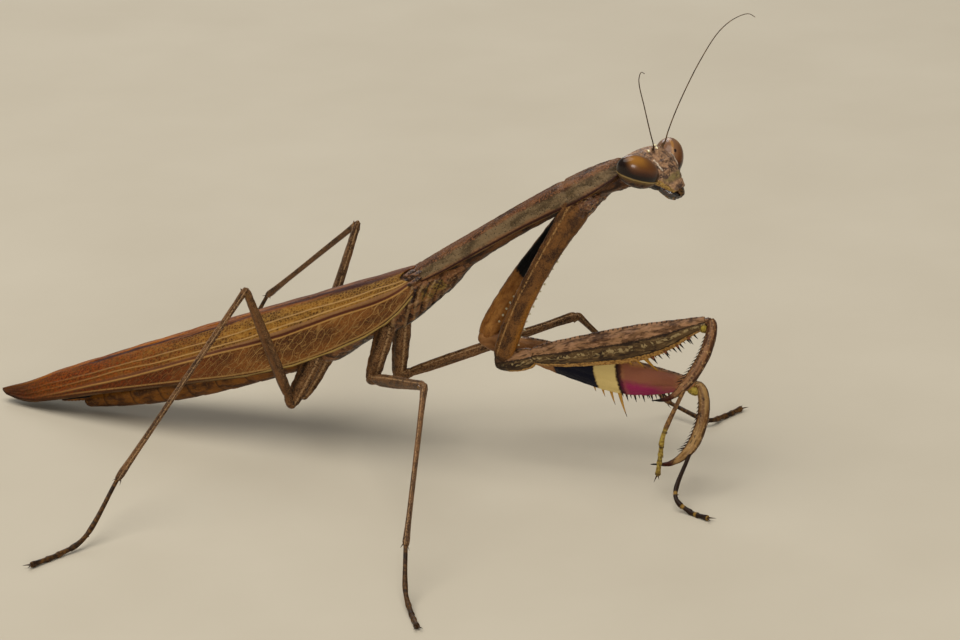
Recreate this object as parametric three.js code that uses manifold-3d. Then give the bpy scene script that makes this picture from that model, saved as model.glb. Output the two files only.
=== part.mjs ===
// A brown praying mantis, adult female, at life size: it stands on its four walking legs, raises its
// prothorax and reaches forward with its raptorial forelegs, the left one touching the floor.
// Millimetres. +X is the way it faces, +Y its left side, +Z up, and its feet rest at one level.
import * as THREE from 'three';
import { mergeVertices } from 'three/addons/utils/BufferGeometryUtils.js';
import Module from 'manifold-3d';

const wasm = await Module();
wasm.setup();

// Driving dimensions.
const GAP = 0.25; // clearance between neighbouring solids
const THINNEST = 0.25; // half the thickness of the thinnest limbs
const PLATE = 0.5; // thickness of a wing
const TRUNK_PITCH = THREE.MathUtils.degToRad(20.8); // slope of the wings and abdomen
const PRONOTUM_PITCH = THREE.MathUtils.degToRad(31); // slope of the raised prothorax
const PRONOTUM_LENGTH = 15.4;
const WING_ROOT = 0.4; // how far behind the pronotum the forewings start
const TEGMEN_LENGTH = 31.6;
const HINDWING_LENGTH = 33.2;
const ABDOMEN_START = 9.5;
const ABDOMEN_END = 27;
const EYE_SPACING = 2.1; // from the middle of the head to the middle of an eye
const EYE_RADII = [1.43, 0.88, 1.05]; // along the eye, through the face, and outward
const TROCHANTER = 1.9; // length of the trochanter of a foreleg
const COXA_BOW = 0.4; // how far the coxa of a foreleg bends back
const SPINE_SIDES = 4;

const UP = new THREE.Vector3(0, 0, 1);
const LEFT = new THREE.Vector3(0, 1, 0);
const vec = (x, y, z) => new THREE.Vector3(x, y, z);

// Surface colours, roughness and metalness.
const FINISHES = {
  pronotum: { color: 0x5d4a36, roughness: 0.6, metalness: 0 },
  thorax: { color: 0x6b4a2c, roughness: 0.6, metalness: 0 },
  abdomen: { color: 0x70431f, roughness: 0.55, metalness: 0 },
  tegmen: { color: 0x8a4a1f, roughness: 0.5, metalness: 0 },
  hindwing: { color: 0x2c1a12, roughness: 0.4, metalness: 0 },
  head: { color: 0x6a4c2e, roughness: 0.45, metalness: 0 },
  eye: { color: 0x6e3c16, roughness: 0.12, metalness: 0 },
  mouth: { color: 0x2a1a12, roughness: 0.25, metalness: 0 },
  antenna: { color: 0x4a3222, roughness: 0.5, metalness: 0 },
  foreleg: { color: 0x6f4c30, roughness: 0.55, metalness: 0 },
  leg: { color: 0x4f3a26, roughness: 0.55, metalness: 0 },
  tarsus: { color: 0x4a3320, roughness: 0.5, metalness: 0 },
};

const animal = new THREE.Group();

function add(name, finish, geometry) {
  const mesh = new THREE.Mesh(geometry, new THREE.MeshStandardMaterial(FINISHES[finish]));
  mesh.name = name;
  animal.add(mesh);
}

// ---- Closed shapes, and how they are joined and cut ----

function onlyPositions(geometry) {
  const copy = geometry.clone();
  copy.deleteAttribute('normal');
  copy.deleteAttribute('uv');
  return mergeVertices(copy);
}

function toSolid(geometry) {
  const merged = onlyPositions(geometry);
  return new wasm.Manifold(new wasm.Mesh({
    numProp: 3,
    vertProperties: new Float32Array(merged.attributes.position.array),
    triVerts: new Uint32Array(merged.index.array),
  }));
}

function toGeometry(solid) {
  const mesh = solid.getMesh();
  const geometry = new THREE.BufferGeometry();
  geometry.setAttribute('position', new THREE.BufferAttribute(new Float32Array(mesh.vertProperties), 3));
  geometry.setIndex(new THREE.BufferAttribute(new Uint32Array(mesh.triVerts), 1));
  return geometry;
}

function join(geometry, extras) {
  const whole = extras.reduce((solid, extra) => solid.add(toSolid(extra)), toSolid(geometry));
  return toGeometry(whole);
}

function carve(geometry, cutters) {
  const rest = cutters.reduce((solid, cutter) => solid.subtract(toSolid(cutter)), toSolid(geometry));
  return toGeometry(rest);
}

// Moves each vertex of a geometry to the place that a function gives it.
function deform(geometry, place) {
  const shape = onlyPositions(geometry);
  const position = shape.attributes.position;
  const vertex = new THREE.Vector3();
  for (let i = 0; i < position.count; i += 1) {
    vertex.fromBufferAttribute(position, i);
    const moved = place(vertex);
    position.setXYZ(i, moved.x, moved.y, moved.z);
  }
  return mergeVertices(shape);
}

function toward(from, to, distance) {
  return from.clone().addScaledVector(to.clone().sub(from).normalize(), distance);
}

function squareTo(direction, axis) {
  return direction.clone().addScaledVector(axis, -direction.dot(axis)).normalize();
}

function curveThrough(path) {
  return path.length > 2 ? new THREE.CatmullRomCurve3(path) : new THREE.LineCurve3(path[0], path[1]);
}

// The centre, forward, top and side directions at a fraction of a curve.
function frameOn(curve, up, at) {
  const place = THREE.MathUtils.clamp(at, 0, 1);
  const tangent = curve.getTangentAt(place);
  const top = squareTo(up, tangent);
  const side = top.clone().cross(tangent);
  return { centre: curve.getPointAt(place), tangent, top, side };
}

const oval = (side, top) => [side, top];

// A closed piece round a path. Each ring is [fraction of the path, half width, half depth, shift],
// with the depth and the shift measured towards `up`. `grow` makes a larger copy, to cut a neighbour
// with, and `floor` flattens whatever would lie lower.
function loft({ path, rings, sides = 8, up = UP, section = oval, grow = 0, floor = -Infinity }) {
  const curve = curveThrough(path);
  const last = rings.length - 1;
  const frames = rings.map(([at, width, depth, shift = 0], index) => {
    const { centre, tangent, top, side } = frameOn(curve, up, at);
    centre.addScaledVector(top, shift);
    centre.addScaledVector(tangent, index === 0 ? -grow : 0);
    centre.addScaledVector(tangent, index === last ? grow : 0);
    return { centre, top, side, width: width + grow, depth: depth + grow };
  });
  return deform(new THREE.CylinderGeometry(1, 1, 1, sides, last), (vertex) => {
    const { centre, top, side, width, depth } = frames[Math.round((vertex.y + 0.5) * last)];
    const [across, high] = section(vertex.z, vertex.x);
    const point = centre.clone().addScaledVector(side, across * width).addScaledVector(top, high * depth);
    point.z = Math.max(point.z, floor);
    return point;
  });
}

// A pointed spine whose wide end is sunk into the piece that it grows from.
function spine(base, direction, length, radius) {
  const cone = new THREE.ConeGeometry(radius, length * 1.4, SPINE_SIDES);
  cone.translate(0, length * 0.3, 0);
  cone.applyQuaternion(new THREE.Quaternion().setFromUnitVectors(vec(0, 1, 0), direction.clone().normalize()));
  cone.translate(base.x, base.y, base.z);
  return cone;
}

// ---- Two straight body axes that meet at the back edge of the pronotum ----

const PRONOTUM_REAR = vec(20.81, 0, 12.5);

function bodyAxis(pitch) {
  const forward = vec(Math.cos(pitch), 0, Math.sin(pitch));
  const above = vec(-Math.sin(pitch), 0, Math.cos(pitch));
  const at = (along, side, height) => PRONOTUM_REAR.clone()
    .addScaledVector(forward, along)
    .addScaledVector(LEFT, side)
    .addScaledVector(above, height);
  return { at, above };
}

const trunk = bodyAxis(TRUNK_PITCH);
const raised = bodyAxis(PRONOTUM_PITCH);

// A piece along a body axis from stations [along, half width, top, bottom].
function bodyPiece(axis, stations, { sides = 12, grow = 0, section = oval } = {}) {
  const start = stations[0][0];
  const length = stations[stations.length - 1][0] - start;
  return loft({
    path: [axis.at(start, 0, 0), axis.at(start + length, 0, 0)],
    rings: stations.map(([along, width, top, bottom]) => [
      (along - start) / length, width, (top - bottom) / 2, (top + bottom) / 2,
    ]),
    sides,
    grow,
    section,
    up: axis.above,
  });
}

// ---- Prothorax: a long narrow shield, widest where the forelegs hang from it ----

// Narrower above than below, with a rounded ridge.
const roofed = (side, top) => [side * (1 - 0.12 * Math.max(top, 0)), top];

const PROTHORAX = [
  [-0.3, 1.0, -0.3, -1.0],
  [0.2, 1.3, 0.0, -1.25],
  [2, 1.3, 0.1, -1.5],
  [5, 1.0, 0.18, -1.5],
  [8.2, 0.95, 0.3, -1.35],
  [10.4, 1.2, 0.28, -1.35],
  [12.1, 1.65, 0.3, -1.4],
  [13.6, 1.5, 0.2, -1.6],
  [14.8, 1.15, 0.02, -1.55],
  [PRONOTUM_LENGTH, 0.75, -0.2, -1.2],
];
const prothorax = (grow = 0) => bodyPiece(raised, PROTHORAX, { grow, section: roofed });
add('prothorax', 'pronotum', prothorax());

// ---- Wings ----

// [fraction of the length, half width of the folded pair, droop of the leading edge]
const FOREWING = [
  [0, 1.75, 1.4], [0.08, 2.5, 2.55], [0.18, 2.7, 3.25], [0.3, 2.8, 3.6], [0.44, 2.8, 3.55],
  [0.57, 2.65, 3.05], [0.7, 2.35, 2.35], [0.83, 1.85, 1.5], [0.93, 1.3, 0.8], [1, 0.85, 0.3],
];

// Half width, droop of the leading edge and height of the back, at a distance behind the pronotum.
function wingShape(behind) {
  const t = THREE.MathUtils.clamp((behind - WING_ROOT) / (TEGMEN_LENGTH - WING_ROOT), 0, 1);
  const after = Math.max(1, FOREWING.findIndex(([at]) => at >= t));
  const [before, next] = [FOREWING[after - 1], FOREWING[after]];
  const share = (t - before[0]) / (next[0] - before[0]);
  return {
    halfWidth: THREE.MathUtils.lerp(before[1], next[1], share),
    droop: THREE.MathUtils.lerp(before[2], next[2], share),
    ridge: 0.15 * Math.sin(Math.PI * t) - 0.05 + 0.15 * t * t,
  };
}

// One leathery forewing: a thin shell that runs from the seam on the back down over one flank.
function tegmen(side, grow = 0) {
  const seam = side > 0 ? -0.25 : 0.25 + GAP;
  return deform(new THREE.BoxGeometry(1, 1, 1, 16, 1, 6), (vertex) => {
    const span = TEGMEN_LENGTH - WING_ROOT + 2 * grow;
    const behind = WING_ROOT - grow + (vertex.x + 0.5) * span;
    const { halfWidth, droop, ridge } = wingShape(behind);
    const inner = seam - grow;
    const reach = inner + (0.5 + side * vertex.z) * (halfWidth - inner + grow);
    const share = Math.abs(reach) / halfWidth;
    const drop = droop * Math.pow(share, 2.4);
    const slope = Math.sign(reach) * droop * 2.4 * Math.pow(share, 1.4) / halfWidth;
    const normal = new THREE.Vector2(slope, 1).normalize();
    const offset = vertex.y * (PLATE + 2 * grow) - PLATE / 2;
    return trunk.at(-behind, side * (reach + normal.x * offset), ridge - drop + normal.y * offset);
  });
}
add('tegmen_left', 'tegmen', tegmen(1));
add('tegmen_right', 'tegmen', tegmen(-1));

// Each hind wing is a folded packet between the abdomen and the forewing, with its tip showing behind.
// The stations are [distance behind the pronotum, distance from the middle, height].
for (const [name, side] of [['left', 1], ['right', -1]]) {
  const stations = [
    [5, 0.6, -1.2], [20, 0.6, -1.2], [28, 0.5, -1.2], [31.3, 0.42, -0.98], [HINDWING_LENGTH, 0.4, -0.2],
  ];
  const rings = [[0, 0.3], [0.1, 0.42], [0.5, 0.42], [0.85, 0.34], [0.95, 0.3], [1, 0.25]];
  add(`hindwing_${name}`, 'hindwing', loft({
    path: stations.map(([behind, out, height]) => trunk.at(-behind, side * out, height)),
    rings: rings.map(([t, width]) => [t, width, THINNEST]),
    up: trunk.above,
  }));
}

// ---- Pterothorax, abdomen and cerci ----

const MESOTHORAX = [
  [-4.4, 1.9, -0.8, -3.7],
  [-3.2, 2.0, -0.6, -3.7],
  [-1.9, 1.95, -0.4, -3.55],
  [-0.5, 1.75, -0.2, -3.0],
  [0.8, 1.45, -0.3, -2.4],
  [2, 0.95, -0.7, -1.8],
  [3.3, 0.35, -0.9, -1.25],
];
const METATHORAX = [
  [-9.2, 1.6, -1.7, -4.3],
  [-8.1, 1.8, -1.7, -4.6],
  [-6.5, 1.85, -1.7, -4.2],
  [-4.4 - GAP, 1.8, -1.6, -3.75],
];

// The abdomen's plates each narrow a little towards the next, like a telescope.
function abdomenStations() {
  const plates = 8;
  const stations = [];
  for (let plate = 0; plate < plates; plate += 1) {
    for (const [edge, step] of [[0.03, 1], [0.9, 0.955]]) {
      const t = (plate + edge) / plates;
      const taper = 1 - Math.pow(t, 2.6);
      const top = -1.7 - 0.2 * Math.pow(t, 4);
      const bottom = -2.75 - 1.9 * taper * (0.85 + 0.15 * t);
      const width = (0.75 + 1.1 * taper) * step;
      const behind = THREE.MathUtils.lerp(ABDOMEN_START, ABDOMEN_END, t);
      stations.push([-behind, width, top, (bottom - top) * step + top]);
    }
  }
  return stations.reverse();
}

const tegminaGrown = [tegmen(1, GAP), tegmen(-1, GAP)];
add('mesothorax', 'thorax', carve(bodyPiece(trunk, MESOTHORAX), [prothorax(GAP), ...tegminaGrown]));
add('metathorax', 'thorax', bodyPiece(trunk, METATHORAX));
add('abdomen', 'abdomen', bodyPiece(trunk, abdomenStations()));

for (const [name, side] of [['left', 1], ['right', -1]]) {
  const base = trunk.at(-ABDOMEN_END - GAP, side * 0.5, -2.15);
  const tip = trunk.at(-ABDOMEN_END - 2.3, side * 1.0, -1.7);
  const rings = [0, 0.25, 0.3, 0.6, 0.65, 1].map((t, i) => [t, 0.26 - 0.02 * (i % 2), 0.26 - 0.02 * (i % 2)]);
  add(`cercus_${name}`, 'abdomen', loft({ path: [base, tip], rings, sides: 6 }));
}

// ---- Head ----

// The head's own axes: out through the face, to its left, and down to the mouth.
const FACE = vec(0.762, -0.043, 0.646).normalize();
const HEAD_LEFT = squareTo(vec(0.136, 0.986, -0.095), FACE);
const MOUTHWARD = HEAD_LEFT.clone().cross(FACE);
const EYE_LINE = vec(36.51, 0, 20.52); // midway between the eyes
const inHead = (down, front, left) => EYE_LINE.clone()
  .addScaledVector(MOUTHWARD, down)
  .addScaledVector(FACE, front)
  .addScaledVector(HEAD_LEFT, left);

// Eyes are long ovals that slant forward and inward towards the mouth.
function eye(side, grow = 0) {
  const long = vec(0.757, 0.432, -0.49 * side);
  const thick = vec(-0.363, 0.902, 0.235 * side);
  const out = long.clone().cross(thick);
  return deform(new THREE.SphereGeometry(1, 14, 9), (vertex) => {
    const local = long.clone().multiplyScalar(vertex.y * (EYE_RADII[0] + grow))
      .addScaledVector(thick, vertex.x * (EYE_RADII[1] + grow))
      .addScaledVector(out, vertex.z * (EYE_RADII[2] + grow));
    return inHead(local.x, local.y, EYE_SPACING * side + local.z);
  });
}

// Rings [down, half width, front, back] from the crown to the lip.
const HEAD = [
  [-1.3, 0.8, -0.5, -1.3],
  [-0.95, 1.5, 0.35, -1.5],
  [-0.4, 1.9, 0.75, -1.75],
  [0.5, 1.95, 0.8, -1.6],
  [1.2, 1.45, 0.75, -1.2],
  [1.8, 0.95, 0.68, -0.7],
  [2.4, 0.7, 0.56, -0.35],
  [2.8, 0.4, 0.4, -0.05],
];
function headShell(grow = 0) {
  const crown = HEAD[0][0];
  const lip = HEAD[HEAD.length - 1][0];
  return loft({
    path: [inHead(crown, 0, 0), inHead(lip, 0, 0)],
    rings: HEAD.map(([down, width, front, back]) => [
      (down - crown) / (lip - crown), width, (front - back) / 2, (front + back) / 2,
    ]),
    sides: 14,
    up: FACE,
    grow,
  });
}

// Antennae rise from the face between the eyes, spread forward and outward, and droop at the tip.
const ANTENNA = [[-0.45, 0.6, 0.65], [-2.1, 2.5, 2.3], [-3.6, 4.6, 4.3], [-4.5, 6.5, 6.2], [-3.9, 7.7, 7.4]];
function antenna(side, grow = 0) {
  const length = side > 0 ? 1 : 0.86;
  const spread = side > 0 ? 1 : 1.14;
  const [base] = ANTENNA;
  const path = ANTENNA.map(([down, front, out]) => inHead(
    base[0] + (down - base[0]) * length,
    base[1] + (front - base[1]) * length,
    side * (base[2] + (out - base[2]) * length * spread),
  ));
  const rings = [0, 0.12, 0.3, 0.5, 0.68, 0.82, 0.92, 1].map((t) => [t, THINNEST, THINNEST]);
  return loft({ path, rings, sides: 6, up: FACE, grow });
}

const HEAD_SIDES = [1, -1];
add('head', 'head', carve(headShell(), [
  ...HEAD_SIDES.map((side) => eye(side, GAP)),
  ...HEAD_SIDES.map((side) => antenna(side, GAP)),
]));
for (const side of HEAD_SIDES) {
  const name = side > 0 ? 'left' : 'right';
  add(`eye_${name}`, 'eye', eye(side));
  add(`antenna_${name}`, 'antenna', antenna(side));
}

// The jaws and the feelers folded behind the lip, as one small muzzle.
add('mouthparts', 'mouth', carve(loft({
  path: [inHead(1.4, -0.75, 0), inHead(2.2, -0.6, 0), inHead(2.85, -0.15, 0)],
  rings: [[0, 0.55, 0.4], [0.35, 0.65, 0.5], [0.75, 0.5, 0.45], [1, 0.25, 0.25]],
  up: FACE,
}), [headShell(GAP)]));

add('neck', 'thorax', carve(loft({
  path: [raised.at(PRONOTUM_LENGTH - 0.6, 0, -1.2), inHead(-0.1, -1.0, 0)],
  rings: [[0, 0.75, 0.75], [0.5, 0.7, 0.8], [1, 0.8, 0.85]],
}), [prothorax(GAP), headShell(GAP)]));

// ---- Tarsi ----

// A long first joint and four short ones, each a little wider at its end, lying flat where it rests on
// the floor.
function tarsus({ ankle, heel, toe, standing }, tibia) {
  const path = [toward(ankle, heel, 0.1), heel.clone(), heel.clone().lerp(toe, 0.45), toe.clone()];
  if (standing) {
    path[2].z = THINNEST;
    path[3].z = THINNEST;
  }
  const rings = [0, 0.5, 0.54, 0.66, 0.69, 0.8, 0.83, 1].map((t, index) => {
    const half = index % 2 === 1 ? 0.3 : THINNEST;
    return [t, half, half];
  });
  return carve(loft({ path, rings, sides: 7, floor: standing ? 0 : -Infinity }), [tibia]);
}

// ---- Forelegs ----

// Three rounded edges, one of them in front.
const triangular = (side, top) => {
  const swell = 1 + 0.1 * Math.cos(3 * (Math.atan2(top, side) - Math.PI / 2));
  return [side * swell, top * swell];
};

const FORE_TIBIA = [
  [0, 0.32, 0.34], [0.06, 0.42, 0.48], [0.25, 0.36, 0.42], [0.5, 0.36, 0.44],
  [0.64, 0.33, 0.4], [0.76, 0.25, 0.28], [0.9, 0.2, 0.2], [1, 0.06, 0.06],
];
const FORE_FEMUR = [
  [0, 0.5, 0.62, -0.1], [0.14, 0.56, 0.8, -0.3], [0.34, 0.68, 1.0, -0.42], [0.56, 0.7, 1.08, -0.5],
  [0.74, 0.62, 0.92, -0.38], [0.9, 0.46, 0.56, -0.1], [1, 0.36, 0.36, 0],
];

// How far the lower edge of the femur lies from its line, at a fraction of its length.
function femurEdge(t) {
  const index = FORE_FEMUR.findIndex(([at]) => at >= t);
  const [low, high] = [FORE_FEMUR[index - 1], FORE_FEMUR[index]];
  return THREE.MathUtils.lerp(low[3] - low[2], high[3] - high[2], (t - low[0]) / (high[0] - low[0]));
}

// Coxa: a three-edged bar with a row of pale denticles down its front edge.
function foreCoxa(leg, back, cutters) {
  const path = [
    toward(leg.coxaTop, leg.coxaEnd, -0.7),
    leg.coxaTop.clone().lerp(leg.coxaEnd, 0.62).addScaledVector(back, COXA_BOW),
    toward(leg.coxaEnd, leg.coxaTop, -0.1),
  ];
  const curve = curveThrough(path);
  const denticles = [];
  for (let t = 0.25; t < 0.9; t += 0.1) {
    const { centre, top, tangent } = frameOn(curve, back, t);
    const out = top.clone().negate();
    denticles.push(spine(centre.addScaledVector(out, 0.55), out.addScaledVector(tangent, 0.3), 0.4, 0.16));
  }
  const bar = loft({
    path,
    rings: [
      [0, 0.55, 0.6], [0.08, 0.7, 0.85], [0.35, 0.55, 0.6],
      [0.72, 0.55, 0.66], [0.93, 0.6, 0.78], [1, 0.4, 0.5],
    ],
    up: back,
    section: triangular,
  });
  return carve(join(bar, denticles), cutters);
}

// Femur: deep and flattened, with spines along both lower edges and longer ones between them.
function foreFemur(leg, side, dorsal, cutters) {
  const path = [toward(leg.coxaEnd, leg.knee, TROCHANTER + GAP), toward(leg.knee, leg.coxaEnd, 0.6)];
  const curve = curveThrough(path);
  const spines = [];
  const grow = (t, row, length, radius, lean) => {
    const { centre, top, side: across, tangent } = frameOn(curve, dorsal, t);
    const root = centre.addScaledVector(top, femurEdge(t) + 0.3).addScaledVector(across, row);
    const out = top.clone().negate().addScaledVector(tangent, lean).addScaledVector(across, row);
    spines.push(spine(root, out, length, radius));
  };
  for (let tooth = 0; tooth < 9; tooth += 1) {
    grow(0.5 + tooth * 0.048, -0.22 * side, tooth % 2 === 0 ? 0.95 : 0.7, 0.14, 0.15);
  }
  for (let tooth = 0; tooth < 4; tooth += 1) {
    grow(0.42 + tooth * 0.13, 0.24 * side, 1.0, 0.16, 0.25);
  }
  for (let tooth = 0; tooth < 3; tooth += 1) {
    grow(0.27 + tooth * 0.07, 0, 1.0 + tooth * 0.35, 0.17, 0.3);
  }
  return carve(join(loft({ path, rings: FORE_FEMUR, up: dorsal }), spines), cutters);
}

// The coxa hangs from the prothorax, the femur reaches forward from its lower end, and the tibia folds
// back under the femur and ends in a long curved claw.
function foreleg(name, side, leg) {
  const femurLine = leg.knee.clone().sub(leg.coxaEnd).normalize();
  const coxaLine = leg.coxaEnd.clone().sub(leg.coxaTop).normalize();
  const tibiaLine = leg.ankle.clone().sub(leg.knee).normalize();
  const dorsal = squareTo(coxaLine.clone().negate(), femurLine);
  const outer = squareTo(femurLine, tibiaLine);

  const trochanter = (grow = 0) => loft({
    path: [toward(leg.coxaEnd, leg.knee, -0.35), toward(leg.coxaEnd, leg.knee, TROCHANTER)],
    rings: [[0, 0.4, 0.42], [0.2, 0.55, 0.62, -0.05], [1, 0.5, 0.66, -0.1]],
    up: dorsal,
    grow,
  });

  const tibiaPath = [
    leg.knee,
    leg.knee.clone().lerp(leg.ankle, 0.4).addScaledVector(outer, leg.bow),
    leg.ankle.clone().lerp(leg.knee, 0.08),
    leg.ankle.clone().lerp(leg.claw, 0.45).addScaledVector(tibiaLine, 0.3),
    leg.claw,
  ];
  const tibia = (grow = 0) => loft({ path: tibiaPath, rings: FORE_TIBIA, up: outer, grow });
  const tibiaCurve = curveThrough(tibiaPath);
  const comb = [];
  for (let tooth = 0; tooth < 8; tooth += 1) {
    const { centre, top, side: across, tangent } = frameOn(tibiaCurve, outer, 0.16 + tooth * 0.06);
    const row = tooth % 2 === 0 ? 0.16 : -0.16;
    const root = centre.addScaledVector(top, -0.25).addScaledVector(across, row);
    const lean = top.clone().negate().addScaledVector(tangent, 0.7).addScaledVector(across, row);
    comb.push(spine(root, lean, 0.45 + 0.04 * tooth, 0.13));
  }

  const back = squareTo(femurLine.clone().negate(), coxaLine);
  add(`fore_coxa_${name}`, 'foreleg', foreCoxa(leg, back, [prothorax(GAP), trochanter(GAP)]));
  add(`fore_trochanter_${name}`, 'foreleg', trochanter());
  add(`fore_femur_${name}`, 'foreleg', foreFemur(leg, side, dorsal, [tibia(GAP)]));
  add(`fore_tibia_${name}`, 'foreleg', join(tibia(), comb));
  add(`fore_tarsus_${name}`, 'tarsus', tarsus(leg, tibia(GAP)));
}

foreleg('right', -1, {
  coxaTop: vec(32.14, -1.44, 17.89),
  coxaEnd: vec(26.56, -1.09, 6.8),
  knee: vec(39.92, 0.02, 10.36),
  ankle: vec(39.18, -3.15, 6.95),
  claw: vec(37.15, -3.45, 6.09),
  heel: vec(38.2, -4.61, 4.31),
  toe: vec(37.74, -4.45, 1.58),
  bow: 0.25,
  standing: false,
});
foreleg('left', 1, {
  coxaTop: vec(32.06, 1.47, 17.76),
  coxaEnd: vec(24.65, 1.2, 7.4),
  knee: vec(39.13, 0.28, 5.9),
  ankle: vec(39.41, -3.1, 2.62),
  claw: vec(36.99, -3.5, 1.83),
  heel: vec(39.32, -5.8, 0.8),
  toe: vec(41.72, -6.95, THINNEST),
  bow: 0.5,
  standing: true,
});

// ---- Walking legs ----

function walkingLeg(name, leg) {
  const trochanter = (grow = 0) => loft({
    path: [toward(leg.coxaEnd, leg.knee, -0.3), toward(leg.coxaEnd, leg.knee, 0.8)],
    rings: [[0, 0.32, 0.32], [0.35, 0.42, 0.42], [1, 0.36, 0.36]],
    grow,
  });
  const tibia = (grow = 0) => loft({
    path: [toward(leg.knee, leg.ankle, -0.15), leg.ankle],
    rings: [
      [0, 0.28, 0.3], [0.03, 0.34, 0.38], [0.1, 0.3, 0.32],
      [0.5, leg.shin, leg.shin], [0.94, leg.shin, leg.shin], [1, 0.3, 0.3],
    ],
    sides: 7,
    grow,
  });
  const coxa = loft({
    path: [toward(leg.coxaTop, leg.coxaEnd, -0.6), toward(leg.coxaEnd, leg.coxaTop, 0.15)],
    rings: [[0, 0.55, 0.6], [0.3, 0.52, 0.6], [0.85, 0.42, 0.46], [1, 0.3, 0.3]],
    up: vec(1, 0, 0),
  });
  const femur = loft({
    path: [toward(leg.coxaEnd, leg.knee, 0.8 + GAP), leg.knee],
    rings: [
      [0, 0.3, 0.34], [0.2, leg.thigh * 0.9, leg.thigh], [0.6, leg.thigh * 0.85, leg.thigh],
      [0.92, 0.32, 0.36], [1, 0.3, 0.32],
    ],
  });
  const segments = leg.segments.map((stations) => bodyPiece(trunk, stations, { grow: GAP }));
  add(`${name}_coxa`, 'leg', carve(coxa, [...segments, trochanter(GAP)]));
  add(`${name}_trochanter`, 'leg', trochanter());
  add(`${name}_femur`, 'leg', carve(femur, [tibia(GAP)]));
  add(`${name}_tibia`, 'leg', tibia());
  add(`${name}_tarsus`, 'tarsus', tarsus({ ...leg, standing: true }, tibia(GAP)));
}

walkingLeg('mid_right', {
  segments: [MESOTHORAX],
  thigh: 0.34,
  shin: THINNEST,
  coxaTop: vec(18.75, -1.55, 8.1),
  coxaEnd: vec(17.72, -1.67, 4.91),
  knee: vec(25.26, -11.34, 8.91),
  ankle: vec(27.17, -20.2, 2.37),
  heel: vec(28.18, -22.99, 0.75),
  toe: vec(30.04, -26.05, THINNEST),
});
walkingLeg('mid_left', {
  segments: [MESOTHORAX],
  thigh: 0.34,
  shin: THINNEST,
  coxaTop: vec(18.75, 1.55, 7.85),
  coxaEnd: vec(18.3, 1.5, 3.95),
  knee: vec(30.03, 3.49, 8.55),
  ankle: vec(34.46, 8.64, 0.95),
  heel: vec(37.3, 7.6, 0.45),
  toe: vec(38.69, 10.68, THINNEST),
});
walkingLeg('hind_right', {
  segments: [METATHORAX, abdomenStations()],
  thigh: 0.44,
  shin: 0.27,
  coxaTop: vec(13.58, -1.55, 5.64),
  coxaEnd: vec(11.98, -1.63, 2.64),
  knee: vec(12.66, -8.92, 13.14),
  ankle: vec(6.74, -16.75, 2.9),
  heel: vec(6.15, -20.73, 0.55),
  toe: vec(4.4, -24.29, THINNEST),
});
walkingLeg('hind_left', {
  segments: [METATHORAX, abdomenStations()],
  thigh: 0.44,
  shin: 0.27,
  coxaTop: vec(13.58, 1.57, 5.62),
  coxaEnd: vec(11.6, 1.3, 2.1),
  knee: vec(12.56, 9.57, 11.27),
  ankle: vec(2.75, 15.88, 3.01),
  heel: vec(0.8, 16.8, 0.55),
  toe: vec(-2.1, 14.5, THINNEST),
});

// The origin is on the floor, under the middle of the animal.
const bounds = new THREE.Box3().setFromObject(animal);
animal.position.set(-(bounds.min.x + bounds.max.x) / 2, -(bounds.min.y + bounds.max.y) / 2, -bounds.min.z);

export default animal;
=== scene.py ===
"""A brown praying mantis standing on the floor, at life size, dressed over its solids."""

import math

import bpy
import numpy as np
from mathutils import Matrix, Vector


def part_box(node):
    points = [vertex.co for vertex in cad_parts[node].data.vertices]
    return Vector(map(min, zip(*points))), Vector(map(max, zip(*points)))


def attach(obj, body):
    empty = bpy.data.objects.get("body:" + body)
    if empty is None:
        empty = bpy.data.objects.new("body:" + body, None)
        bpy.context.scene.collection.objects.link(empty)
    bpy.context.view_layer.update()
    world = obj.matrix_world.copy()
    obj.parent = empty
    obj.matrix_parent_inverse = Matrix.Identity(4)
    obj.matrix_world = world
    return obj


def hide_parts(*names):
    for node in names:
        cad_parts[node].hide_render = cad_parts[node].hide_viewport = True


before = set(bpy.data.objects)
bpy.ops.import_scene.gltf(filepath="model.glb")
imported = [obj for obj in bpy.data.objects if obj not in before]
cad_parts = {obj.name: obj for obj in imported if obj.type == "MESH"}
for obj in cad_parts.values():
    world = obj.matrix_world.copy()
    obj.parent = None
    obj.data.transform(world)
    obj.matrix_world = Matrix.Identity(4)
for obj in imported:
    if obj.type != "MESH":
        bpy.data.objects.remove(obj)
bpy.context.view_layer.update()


# ---- Viewpoint, light and floor ----
# The animal is laid out in its own millimetres: X forward, Y to its left, Z up from the floor.
# Its pronotum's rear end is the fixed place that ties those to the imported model.

PRONOTUM_REAR = np.array([20.81, 0.0, 12.5])
shield_low, shield_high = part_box("prothorax")
SHIELD_OVERHANG = 0.0001027  # how far the pronotum's rearmost corner lies behind that place
rear_in_frame = np.array([shield_low.x + SHIELD_OVERHANG, (shield_low.y + shield_high.y) / 2, 0.0125])


def metres(spots):
    """Places in the animal's millimetres, as places in the model's frame."""
    return (np.asarray(spots, float) - PRONOTUM_REAR) / 1000 + rear_in_frame


def begin():
    """Object mode, with nothing selected."""
    if bpy.context.object and bpy.context.object.mode != "OBJECT":
        bpy.ops.object.mode_set(mode="OBJECT")
    bpy.ops.object.select_all(action="DESELECT")


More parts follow.
